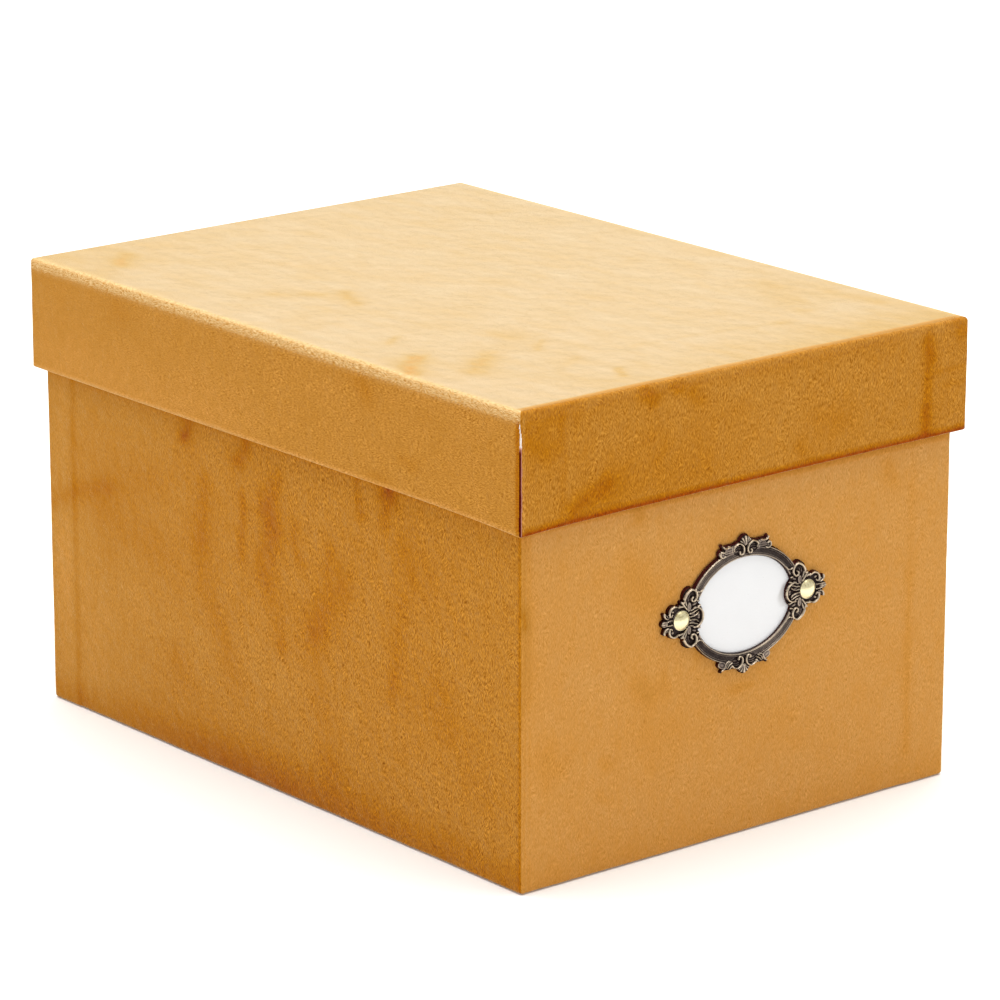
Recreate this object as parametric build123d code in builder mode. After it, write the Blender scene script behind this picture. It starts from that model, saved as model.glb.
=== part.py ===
from build123d import *

import math
import os

# Storage box with a lift-off lid, covered in velvet, with an oval label frame on its short front face.
# Millimetres. +Z is up, the label face looks along -Y, and the origin is the centre of the underside.

# Overall size
box_width = 180.0
box_depth = 250.0
box_height = 150.0
lid_height = 36.6

# Sheets and boards
base_board = 2.0
lid_board = 1.5
velvet = 0.5
lining = 0.15
tape = 0.15
bottom_paper = 0.3

# Covering: how far it is turned over each edge, and how round its folded edges are
base_turn_in = 15.0
base_turn_under = 15.0
lid_turn_in = 12.0
velvet_edge_radius = 0.8

# Corner stays of tape
stay_leg = 20.0
stay_end_gap = 3.0

# Sheet glued over the underside
bottom_sheet_inset = 5.0
bottom_sheet_step = 0.3

# Running room between the base's covering and the velvet turned in at the lid's rim, each side
lid_clearance = 0.7

# Label frame: an oval moulded ring with a crest above and below and a pin end on each side
label_height = 74.5
opening_rx = 19.6
opening_rz = 15.0
ring_width = 3.1
plate_thickness = 1.3
outer_bead_width = 1.1
inner_bead_width = 0.9
bead_step = 0.25
bead_ledge = 0.1

# Ornament of the label frame: raised ribs on the plate
rib_width = 0.75
rib_rise = 0.75
petal_width = 0.9
palmette_rise = 0.9
vein_rise = 0.6
lobe_rise = 0.68

# Crest: a palmette between two scrolls, with a leaf running outward from each scroll
crest_rise = 3.65
crest_scroll_radius = 1.7
crest_scroll_x = 2.6
crest_curl_radius = 0.6
crest_scroll_arc = (30, 215)
palmette_rx = 2.5
palmette_rz = 3.2
palmette_root_depth = 1.5
palmette_edge = 0.25
palmette_petals = 5
palmette_spread = 23.0
palmette_taper = 0.6
leaf_length = 7.4
leaf_width = 3.0
leaf_tilt = -8.0
leaf_tip_length = 5.6
leaf_tip_width = 1.8
leaf_tip_tilt = 12.0
leaf_veins = ((14.0, 4.6), (-4.0, 5.6), (-22.0, 5.2))

# End: two scrolls beside the ring, a round seat for the pin, two smaller scrolls and a pointed tip
end_reach = 34.0
end_scroll_radius = 2.3
end_scroll_x = 22.2
end_scroll_z = 6.8
end_curl_radius = 0.8
end_scroll_arc = (-15, 250)
shoulder_radius = 1.9
seat_rim = 1.2
tip_scroll_radius = 1.75
tip_scroll_x = 28.6
tip_scroll_z = 3.0
tip_scroll_arc = (-10, 165)
tip_width = 3.0
side_tip_length = 5.4
side_tip_width = 2.2
side_tip_tilt = 22.0
spray_veins = ((0.0, 3.6), (26.0, 3.0), (-26.0, 3.0))

# Shell lobe that bulges into the opening at each end
lobe_bulge = 2.5
lobe_rx = 3.6
lobe_rz = 4.6
lobe_outer_arc = (105, 150)
lobe_inner_arc = (110, 140)
lobe_flute_step = 1.1
lobe_flute_length = 3.2
lobe_flute_heights = (1.5, 3.3)

# Label card, and the pocket behind the ring that it slides up out of
card_rx = 21.0
card_rz = 16.4
card_thickness = 0.25
card_play = 0.1
card_edge_play = 0.3

# Split pins
pin_spacing = 51.4
cap_radius = 3.1
cap_height = 1.6
cap_rim = 0.35
cap_sheet = 0.3
cap_lip_grip = 0.35
leg_width = 2.4
leg_sheet = 0.35
leg_reach = 9.0
pin_play = 0.15

# Worked out from the sizes above
lid_overhang = velvet + lid_board + velvet + lid_clearance
base_width = box_width - 2 * lid_overhang
base_depth = box_depth - 2 * lid_overhang
base_top = box_height - velvet - lid_board - lining

base_carcass_width = base_width - 2 * velvet
base_carcass_depth = base_depth - 2 * velvet
base_carcass_bottom = bottom_paper + velvet
base_carcass_top = base_top - velvet
base_floor_top = base_carcass_bottom + base_board
base_inner_width = base_carcass_width - 2 * base_board
base_inner_depth = base_carcass_depth - 2 * base_board
base_turn_in_edge = base_carcass_top - base_turn_in

lid_bottom = box_height - lid_height
lid_carcass_width = box_width - 2 * velvet
lid_carcass_depth = box_depth - 2 * velvet
lid_carcass_bottom = lid_bottom + velvet
lid_carcass_top = box_height - velvet
lid_panel_bottom = lid_carcass_top - lid_board
lid_inner_width = lid_carcass_width - 2 * lid_board
lid_inner_depth = lid_carcass_depth - 2 * lid_board
lid_turn_in_edge = lid_carcass_bottom + lid_turn_in

ring_rx = opening_rx + ring_width
ring_rz = opening_rz + ring_width
pocket_depth = 2 * card_play + card_thickness
wall_stack = velvet + base_board + lining
pin_x = pin_spacing / 2

# The base's front face, seen from the front: x to the right, y up, offsets outward
front_face = Plane(origin=(0, -base_depth / 2, label_height), x_dir=(1, 0, 0), z_dir=(0, -1, 0))

os.makedirs("parts", exist_ok=True)


def stay_outline(carcass_width, carcass_depth, side_x, side_y):
    """An L of tape around the outside of one upright corner of the boards."""
    corner_x = side_x * carcass_width / 2
    corner_y = side_y * carcass_depth / 2
    with Locations((corner_x + side_x * (tape - stay_leg / 2), corner_y + side_y * tape / 2)):
        Rectangle(stay_leg, tape)
    with Locations((corner_x + side_x * tape / 2, corner_y + side_y * (tape - stay_leg / 2))):
        Rectangle(tape, stay_leg)


def pin_slits():
    """The two slits that the split pins' legs pass through, drawn on the front face."""
    with Locations((-pin_x, 0), (pin_x, 0)):
        Rectangle(leg_width + 2 * pin_play, 2 * leg_sheet + 2 * pin_play)


def make_wall_boards(prefix, width, depth, board, bottom, top, slit=False):
    """Four upright boards: the front and rear ones span the width, the side ones fit between."""
    side_depth = depth - 2 * board
    places = {
        "front": (0, (board - depth) / 2, width, board),
        "rear": (0, (depth - board) / 2, width, board),
        "left": ((board - width) / 2, 0, board, side_depth),
        "right": ((width - board) / 2, 0, board, side_depth),
    }
    for side, (x, y, size_x, size_y) in places.items():
        with BuildPart() as wall:
            with BuildSketch(Plane.XY.offset(bottom)):
                with Locations((x, y)):
                    Rectangle(size_x, size_y)
            extrude(amount=top - bottom)
            if slit and side == "front":
                with BuildSketch(front_face):
                    pin_slits()
                extrude(amount=-wall_stack, mode=Mode.SUBTRACT)
        name = f"{prefix}_{side}_board"
        wall.part.label = name
        export_step(wall.part, f"parts/{name}.step")


def make_corner_stays(prefix, width, depth, bottom, top):
    """Four strips of tape that hold the upright corners of the boards together."""
    for side_y, y_word in ((-1, "front"), (1, "rear")):
        for side_x, x_word in ((-1, "left"), (1, "right")):
            with BuildPart() as stay:
                with BuildSketch(Plane.XY.offset(bottom)):
                    stay_outline(width, depth, side_x, side_y)
                extrude(amount=top - bottom)
            name = f"{prefix}_corner_stay_{y_word}_{x_word}"
            stay.part.label = name
            export_step(stay.part, f"parts/{name}.step")


# Base: floor board with the four wall boards standing on it
with BuildPart() as base_floor_board:
    with BuildSketch(Plane.XY.offset(base_carcass_bottom)):
        Rectangle(base_carcass_width, base_carcass_depth)
    extrude(amount=base_board)
base_floor_board.part.label = "base_floor_board"
export_step(base_floor_board.part, "parts/base_floor_board.step")

make_wall_boards(
    "base", base_carcass_width, base_carcass_depth, base_board, base_floor_top, base_carcass_top, slit=True
)

base_stay_bottom = base_carcass_bottom + stay_end_gap
base_stay_top = base_carcass_top - stay_end_gap
make_corner_stays("base", base_carcass_width, base_carcass_depth, base_stay_bottom, base_stay_top)

# Base covering: velvet over the walls, turned in over the rim and turned under the floor
with BuildPart() as base_velvet_wrap:
    with BuildSketch(Plane.XY.offset(bottom_paper)):
        Rectangle(base_width, base_depth)
    extrude(amount=base_top - bottom_paper)
    fillet(base_velvet_wrap.edges().filter_by(Axis.Z), radius=velvet_edge_radius)
    fillet(base_velvet_wrap.faces().sort_by(Axis.Z)[0].edges(), radius=velvet_edge_radius)
    fillet(base_velvet_wrap.faces().sort_by(Axis.Z)[-1].edges(), radius=velvet_edge_radius)
    with BuildSketch(Plane.XY.offset(base_carcass_bottom)):
        Rectangle(base_carcass_width, base_carcass_depth)
    extrude(amount=base_carcass_top - base_carcass_bottom, mode=Mode.SUBTRACT)
    with BuildSketch(Plane.XY.offset(bottom_paper)):
        Rectangle(base_width - 2 * base_turn_under, base_depth - 2 * base_turn_under)
    extrude(amount=velvet, mode=Mode.SUBTRACT)
    with BuildSketch(Plane.XY.offset(base_turn_in_edge)):
        Rectangle(base_inner_width, base_inner_depth)
    extrude(amount=base_top - base_turn_in_edge)
    with BuildSketch(Plane.XY.offset(base_turn_in_edge)):
        Rectangle(base_inner_width - 2 * velvet, base_inner_depth - 2 * velvet)
    extrude(amount=base_top - base_turn_in_edge, mode=Mode.SUBTRACT)
    with BuildSketch(Plane.XY.offset(base_stay_bottom)):
        for side_x in (-1, 1):
            for side_y in (-1, 1):
                stay_outline(base_carcass_width, base_carcass_depth, side_x, side_y)
    extrude(amount=base_stay_top - base_stay_bottom, mode=Mode.SUBTRACT)
    with BuildSketch(front_face):
        pin_slits()
    extrude(amount=-velvet, mode=Mode.SUBTRACT)
base_velvet_wrap.part.label = "base_velvet_wrap"
export_step(base_velvet_wrap.part, "parts/base_velvet_wrap.step")

# Base linings: a paper band round the walls up to the turned-in velvet, and a paper floor inside it
with BuildPart() as base_wall_lining:
    with BuildSketch(Plane.XY.offset(base_floor_top)):
        Rectangle(base_inner_width, base_inner_depth)
        Rectangle(base_inner_width - 2 * lining, base_inner_depth - 2 * lining, mode=Mode.SUBTRACT)
    extrude(amount=base_turn_in_edge - base_floor_top)
    with BuildSketch(front_face):
        pin_slits()
    extrude(amount=-wall_stack, mode=Mode.SUBTRACT)
base_wall_lining.part.label = "base_wall_lining"
export_step(base_wall_lining.part, "parts/base_wall_lining.step")

with BuildPart() as base_floor_lining:
    with BuildSketch(Plane.XY.offset(base_floor_top)):
        Rectangle(base_inner_width - 2 * lining, base_inner_depth - 2 * lining)
    extrude(amount=lining)
base_floor_lining.part.label = "base_floor_lining"
export_step(base_floor_lining.part, "parts/base_floor_lining.step")

# Underside sheet: it lies on the turned-under velvet and steps up onto the floor board inside it
turned_under_width = base_width - 2 * base_turn_under
turned_under_depth = base_depth - 2 * base_turn_under
with BuildPart() as base_bottom_sheet:
    with BuildSketch(Plane.XY):
        Rectangle(base_width - 2 * bottom_sheet_inset, base_depth - 2 * bottom_sheet_inset)
    extrude(amount=bottom_paper)
    with BuildSketch(Plane.XY.offset(bottom_paper)):
        Rectangle(turned_under_width, turned_under_depth)
    extrude(amount=velvet)
    with BuildSketch(Plane.XY):
        Rectangle(turned_under_width - 2 * bottom_sheet_step, turned_under_depth - 2 * bottom_sheet_step)
    extrude(amount=velvet, mode=Mode.SUBTRACT)
base_bottom_sheet.part.label = "base_bottom_sheet"
export_step(base_bottom_sheet.part, "parts/base_bottom_sheet.step")

# Lid: top board resting on the upper edges of four rim boards
with BuildPart() as lid_top_board:
    with BuildSketch(Plane.XY.offset(lid_panel_bottom)):
        Rectangle(lid_carcass_width, lid_carcass_depth)
    extrude(amount=lid_board)
lid_top_board.part.label = "lid_top_board"
export_step(lid_top_board.part, "parts/lid_top_board.step")

make_wall_boards(
    "lid", lid_carcass_width, lid_carcass_depth, lid_board, lid_carcass_bottom, lid_panel_bottom
)

lid_stay_bottom = lid_carcass_bottom + stay_end_gap
lid_stay_top = lid_carcass_top - stay_end_gap
make_corner_stays("lid", lid_carcass_width, lid_carcass_depth, lid_stay_bottom, lid_stay_top)

# Lid covering: velvet over the top and rim, turned in round the lower edge
with BuildPart() as lid_velvet_wrap:
    with BuildSketch(Plane.XY.offset(lid_bottom)):
        Rectangle(box_width, box_depth)
    extrude(amount=lid_height)
    fillet(lid_velvet_wrap.edges().filter_by(Axis.Z), radius=velvet_edge_radius)
    fillet(lid_velvet_wrap.faces().sort_by(Axis.Z)[-1].edges(), radius=velvet_edge_radius)
    with BuildSketch(Plane.XY.offset(lid_carcass_bottom)):
        Rectangle(lid_carcass_width, lid_carcass_depth)
    extrude(amount=lid_carcass_top - lid_carcass_bottom, mode=Mode.SUBTRACT)
    with BuildSketch(Plane.XY.offset(lid_carcass_bottom)):
        Rectangle(lid_inner_width, lid_inner_depth)
    extrude(amount=lid_turn_in)
    with BuildSketch(Plane.XY.offset(lid_bottom)):
        Rectangle(lid_inner_width - 2 * velvet, lid_inner_depth - 2 * velvet)
    extrude(amount=velvet + lid_turn_in, mode=Mode.SUBTRACT)
    with BuildSketch(Plane.XY.offset(lid_stay_bottom)):
        for side_x in (-1, 1):
            for side_y in (-1, 1):
                stay_outline(lid_carcass_width, lid_carcass_depth, side_x, side_y)
    extrude(amount=lid_stay_top - lid_stay_bottom, mode=Mode.SUBTRACT)
lid_velvet_wrap.part.label = "lid_velvet_wrap"
export_step(lid_velvet_wrap.part, "parts/lid_velvet_wrap.step")

# Lid lining: paper under the top board and down the rim to the turned-in velvet
with BuildPart() as lid_lining:
    with BuildSketch(Plane.XY.offset(lid_turn_in_edge)):
        Rectangle(lid_inner_width, lid_inner_depth)
    extrude(amount=lid_panel_bottom - lid_turn_in_edge)
    with BuildSketch(Plane.XY.offset(lid_turn_in_edge)):
        Rectangle(lid_inner_width - 2 * lining, lid_inner_depth - 2 * lining)
    extrude(amount=lid_panel_bottom - lining - lid_turn_in_edge, mode=Mode.SUBTRACT)
lid_lining.part.label = "lid_lining"
export_step(lid_lining.part, "parts/lid_lining.step")


def mirror_to_four():
    """Repeats the quarter drawn so far to the left and below."""
    mirror(about=Plane.YZ)
    mirror(about=Plane.XZ)


def petal(root_x, root_y, direction, length, width):
    """One pointed-oval petal from its root, along a direction in degrees."""
    middle_x = root_x + length / 2 * math.cos(math.radians(direction))
    middle_y = root_y + length / 2 * math.sin(math.radians(direction))
    with Locations(Location((middle_x, middle_y, 0), (0, 0, direction))):
        Ellipse(length / 2, width / 2)


def arc_rib(centre, radius, start, size):
    """A raised rib along an arc, drawn as a band of one width."""
    with BuildLine() as rib_line:
        CenterArc(centre, radius, start, size)
    trace(rib_line.line, line_width=rib_width)


def make_bead(outer_rx, outer_rz, width):
    """A raised oval moulding on the plate, in two steps, whose outer edge has the radii given."""
    for inset, band, rise in ((0, width, bead_step), (width / 4, width / 2, 2 * bead_step)):
        with BuildSketch(front_face.offset(plate_thickness)) as oval_band:
            Ellipse(outer_rx - inset, outer_rz - inset)
            Ellipse(outer_rx - inset - band, outer_rz - inset - band, mode=Mode.SUBTRACT)
        extrude(oval_band.sketch, amount=rise)


# Places in the ornament that follow the sizes of the ring and the pins
crest_top = ring_rz + crest_rise
crest_scroll_z = ring_rz - rib_width / 2
palmette_root = ring_rz - palmette_root_depth
leaf_x = crest_scroll_x + crest_scroll_radius + rib_width / 2
tip_x = pin_x + cap_radius
lobe_x = opening_rx - lobe_bulge + lobe_rx
crest_curl = (crest_scroll_x - crest_scroll_radius / 2, crest_scroll_z - crest_scroll_radius / 2)
end_curl = (end_scroll_x - end_scroll_radius / 2, end_scroll_z - end_scroll_radius / 2)
longest_petal = crest_rise + palmette_root_depth - palmette_edge
lobe_outer_radius = lobe_rx - rib_width
lobe_inner_radius = lobe_outer_radius - lobe_flute_step
ornament_top = plate_thickness + 2 * rib_rise

with BuildPart() as label_frame:
    # Flat plate under the ornament: ring, crests and ends in one outline
    with BuildSketch(front_face):
        Ellipse(ring_rx, ring_rz)
        with Locations((0, crest_top - palmette_rz)):
            Ellipse(palmette_rx, palmette_rz)
        with Locations((crest_scroll_x, crest_scroll_z)):
            Circle(crest_scroll_radius + rib_width / 2)
        petal(leaf_x - rib_width, ring_rz, leaf_tilt, leaf_length, leaf_width)
        petal(leaf_x + rib_width, ring_rz, leaf_tip_tilt, leaf_tip_length, leaf_tip_width)
        with Locations((end_scroll_x, end_scroll_z)):
            Circle(end_scroll_radius + rib_width / 2)
        with Locations((pin_x, 0)):
            Circle(cap_radius + seat_rim)
        with Locations(((pin_x + end_scroll_x) / 2, (end_scroll_z + seat_rim) / 2)):
            Circle(shoulder_radius)
        with Locations((tip_scroll_x, tip_scroll_z)):
            Circle(tip_scroll_radius + rib_width / 2)
        petal(tip_x, 0, 0, end_reach - tip_x, tip_width)
        petal(tip_x - seat_rim, seat_rim, side_tip_tilt, side_tip_length, side_tip_width)
        mirror_to_four()
        Ellipse(opening_rx, opening_rz, mode=Mode.SUBTRACT)
        with Locations((-lobe_x, 0), (lobe_x, 0)):
            Ellipse(lobe_rx, lobe_rz)
    extrude(amount=plate_thickness)
    # Moulding of the ring: a stout outer bead, a cove, and a finer inner bead
    make_bead(ring_rx - bead_ledge, ring_rz - bead_ledge, outer_bead_width)
    inner_bead_edge = bead_ledge + inner_bead_width
    make_bead(opening_rx + inner_bead_edge, opening_rz + inner_bead_edge, inner_bead_width)
    # Scrolls: two to each crest, two to each end beside the opening and two beyond each pin
    with BuildSketch(front_face.offset(plate_thickness)):
        arc_rib((crest_scroll_x, crest_scroll_z), crest_scroll_radius, *crest_scroll_arc)
        arc_rib((end_scroll_x, end_scroll_z), end_scroll_radius, *end_scroll_arc)
        arc_rib((tip_scroll_x, tip_scroll_z), tip_scroll_radius, *tip_scroll_arc)
        with Locations(crest_curl):
            Circle(crest_curl_radius)
        with Locations(end_curl):
            Circle(end_curl_radius)
        mirror_to_four()
    extrude(amount=rib_rise)
    # Palmette in the middle of each crest: a fan of petals from one root
    with BuildSketch(front_face.offset(plate_thickness)):
        for petal_index in range(palmette_petals):
            step = petal_index - (palmette_petals - 1) / 2
            petal_length = longest_petal - palmette_taper * abs(step)
            petal(0, palmette_root, 90 + palmette_spread * step, petal_length, petal_width)
        mirror(about=Plane.XZ)
    extrude(amount=palmette_rise)
    # Veins of the leaves that run outward from the crest scrolls, and of the spray at each tip
    with BuildSketch(front_face.offset(plate_thickness)):
        for vein_angle, vein_length in leaf_veins:
            petal(leaf_x, ring_rz, vein_angle, vein_length, petal_width)
        for vein_angle, vein_length in spray_veins:
            petal(tip_x + seat_rim, 0, vein_angle, vein_length, petal_width)
        mirror_to_four()
    extrude(amount=vein_rise)
    # Shell lobe beside the opening: curved flutes, and ribs that run back to the pin
    with BuildSketch(front_face.offset(plate_thickness)):
        arc_rib((lobe_x, 0), lobe_outer_radius, *lobe_outer_arc)
        arc_rib((lobe_x, 0), lobe_inner_radius, *lobe_inner_arc)
        for flute_height in lobe_flute_heights:
            petal(lobe_x - lobe_flute_length / 2, flute_height, 0, lobe_flute_length, petal_width)
        mirror_to_four()
    extrude(amount=lobe_rise)
    # Pocket for the card, open at the top
    with BuildSketch(front_face):
        Ellipse(card_rx + card_edge_play, card_rz + card_edge_play)
        with Locations((0, crest_top)):
            Rectangle(2 * (card_rx + card_edge_play), 2 * crest_top)
    extrude(amount=pocket_depth, mode=Mode.SUBTRACT)
    # Holes for the pins, with a flat seat under each cap
    with BuildSketch(front_face):
        with Locations((-pin_x, 0), (pin_x, 0)):
            Circle(math.hypot(leg_width / 2, leg_sheet) + pin_play)
    extrude(amount=ornament_top, mode=Mode.SUBTRACT)
    with BuildSketch(front_face.offset(plate_thickness)):
        with Locations((-pin_x, 0), (pin_x, 0)):
            Circle(cap_radius + pin_play)
    extrude(amount=ornament_top, mode=Mode.SUBTRACT)
label_frame.part.label = "label_frame"
export_step(label_frame.part, "parts/label_frame.step")

# Card: an oval that covers the opening and stands on the pocket's lower edge
with BuildPart() as label_card:
    with BuildSketch(front_face.offset(card_play)):
        Ellipse(card_rx, card_rz)
    extrude(amount=card_thickness)
label_card.part.label = "label_card"
export_step(label_card.part, "parts/label_card.step")

# Split pins: a domed cap curled under a flat head, whose two legs are splayed behind the front board
dome_rise = cap_height - cap_rim
dome_radius = (cap_radius**2 + dome_rise**2) / (2 * dome_rise)
dome_centre = plate_thickness + cap_height - dome_radius
inner_dome_radius = dome_radius - cap_sheet
head_bottom = plate_thickness + cap_sheet
head_top = head_bottom + leg_sheet


def inside_dome_radius(height):
    """Distance from the pin's axis to the inside of the dome, at a height off the wall."""
    return math.sqrt(inner_dome_radius**2 - (height - dome_centre) ** 2)


def dome_point(radius, angle):
    """A point on a dome of some radius, as distance from the axis and height off the wall."""
    return radius * math.sin(angle), dome_centre + radius * math.cos(angle)


head_radius = inside_dome_radius(head_top) - pin_play
lip_radius = head_radius - cap_lip_grip
outer_angle = math.asin(cap_radius / dome_radius)
inner_angle = math.asin(inside_dome_radius(head_bottom) / inner_dome_radius)

for x, side in ((-pin_x, "left"), (pin_x, "right")):
    pin_section = Plane(origin=(x, -base_depth / 2, label_height), x_dir=(1, 0, 0), z_dir=(0, 0, -1))
    with BuildPart() as split_pin_cap:
        with BuildSketch(pin_section):
            with BuildLine():
                Line(dome_point(inner_dome_radius, 0), dome_point(dome_radius, 0))
                ThreePointArc(
                    dome_point(dome_radius, 0),
                    dome_point(dome_radius, outer_angle / 2),
                    dome_point(dome_radius, outer_angle),
                )
                Polyline(
                    dome_point(dome_radius, outer_angle),
                    (cap_radius, plate_thickness),
                    (lip_radius, plate_thickness),
                    (lip_radius, head_bottom),
                    dome_point(inner_dome_radius, inner_angle),
                )
                ThreePointArc(
                    dome_point(inner_dome_radius, inner_angle),
                    dome_point(inner_dome_radius, inner_angle / 2),
                    dome_point(inner_dome_radius, 0),
                )
            make_face()
        revolve(axis=Axis(pin_section.origin, pin_section.y_dir))
    split_pin_cap.part.label = f"split_pin_cap_{side}"
    export_step(split_pin_cap.part, f"parts/split_pin_cap_{side}.step")

    with BuildPart() as split_pin_legs:
        with BuildSketch(front_face.offset(head_bottom)):
            with Locations((x, 0)):
                Circle(head_radius)
        extrude(amount=leg_sheet)
        with BuildSketch(front_face.offset(-wall_stack - leg_sheet)):
            with Locations((x, 0)):
                Rectangle(leg_width, 2 * leg_sheet)
        extrude(amount=wall_stack + leg_sheet + head_bottom)
        with BuildSketch(front_face.offset(-wall_stack - leg_sheet)):
            with Locations((x, 0)):
                SlotOverall(2 * leg_reach, leg_width, rotation=90)
        extrude(amount=leg_sheet)
    split_pin_legs.part.label = f"split_pin_legs_{side}"
    export_step(split_pin_legs.part, f"parts/split_pin_legs_{side}.step")
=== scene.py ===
import logging
from dataclasses import dataclass, field
from enum import Enum, IntEnum

import bpy
import numpy as np
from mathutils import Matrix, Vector


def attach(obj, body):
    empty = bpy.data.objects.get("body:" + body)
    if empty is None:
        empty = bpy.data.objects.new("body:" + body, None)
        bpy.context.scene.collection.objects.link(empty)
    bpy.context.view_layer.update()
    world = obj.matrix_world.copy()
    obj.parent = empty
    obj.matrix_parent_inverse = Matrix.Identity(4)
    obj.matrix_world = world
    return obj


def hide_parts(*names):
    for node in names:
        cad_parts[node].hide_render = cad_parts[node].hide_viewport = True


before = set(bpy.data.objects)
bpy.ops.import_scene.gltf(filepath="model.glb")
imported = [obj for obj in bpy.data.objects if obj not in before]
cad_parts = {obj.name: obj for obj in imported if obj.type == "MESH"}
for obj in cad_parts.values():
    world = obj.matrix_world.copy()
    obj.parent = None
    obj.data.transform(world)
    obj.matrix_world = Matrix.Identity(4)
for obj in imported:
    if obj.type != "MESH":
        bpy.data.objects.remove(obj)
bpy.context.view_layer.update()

# Storage box with a lift-off lid, covered in mustard velvet, with an oval label frame.
# Sizes below are in millimetres, and MM turns them to metres when a mesh is made.

MM = 0.001
TURN = 2 * np.pi
FRONT_WALL = -121.8  # where the outside of the base's front wall stands
FRAME_HEIGHT = 73.9  # the middle of the label frame above the floor
LOBE = (20.7, 3.95, 4.9)  # the lobe at each side of the frame's opening: its level place and its two reaches
LOG = logging.getLogger("storage_box")

Array = np.ndarray
Pair = tuple[float, float]
Rows = tuple[Array, Array, Array, Array]
Stops = tuple[tuple[float, str], ...]
Socket = bpy.types.NodeSocket
Term = Socket | float | tuple[float, ...]


class Panel(IntEnum):
    """The side of the box that a piece of covering lies on."""

    FRONT = 0
    RIGHT = 1
    REAR = 2
    LEFT = 3
    TOP = 4


class Body(Enum):
    """The moving bodies of the box."""

    BASE = "base"
    LID = "lid"
    CARD = "label_card"


def to_linear(code: str) -> tuple[float, float, float, float]:
    """Turns an sRGB colour, as #RRGGBB, into the linear and opaque colour that a shader takes."""
    channels = np.array([int(code[i : i + 2], 16) for i in (1, 3, 5)]) / 255
    linear = np.where(channels <= 0.04045, channels / 12.92, ((channels + 0.055) / 1.055) ** 2.4)
    return (*linear.tolist(), 1.0)


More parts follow.
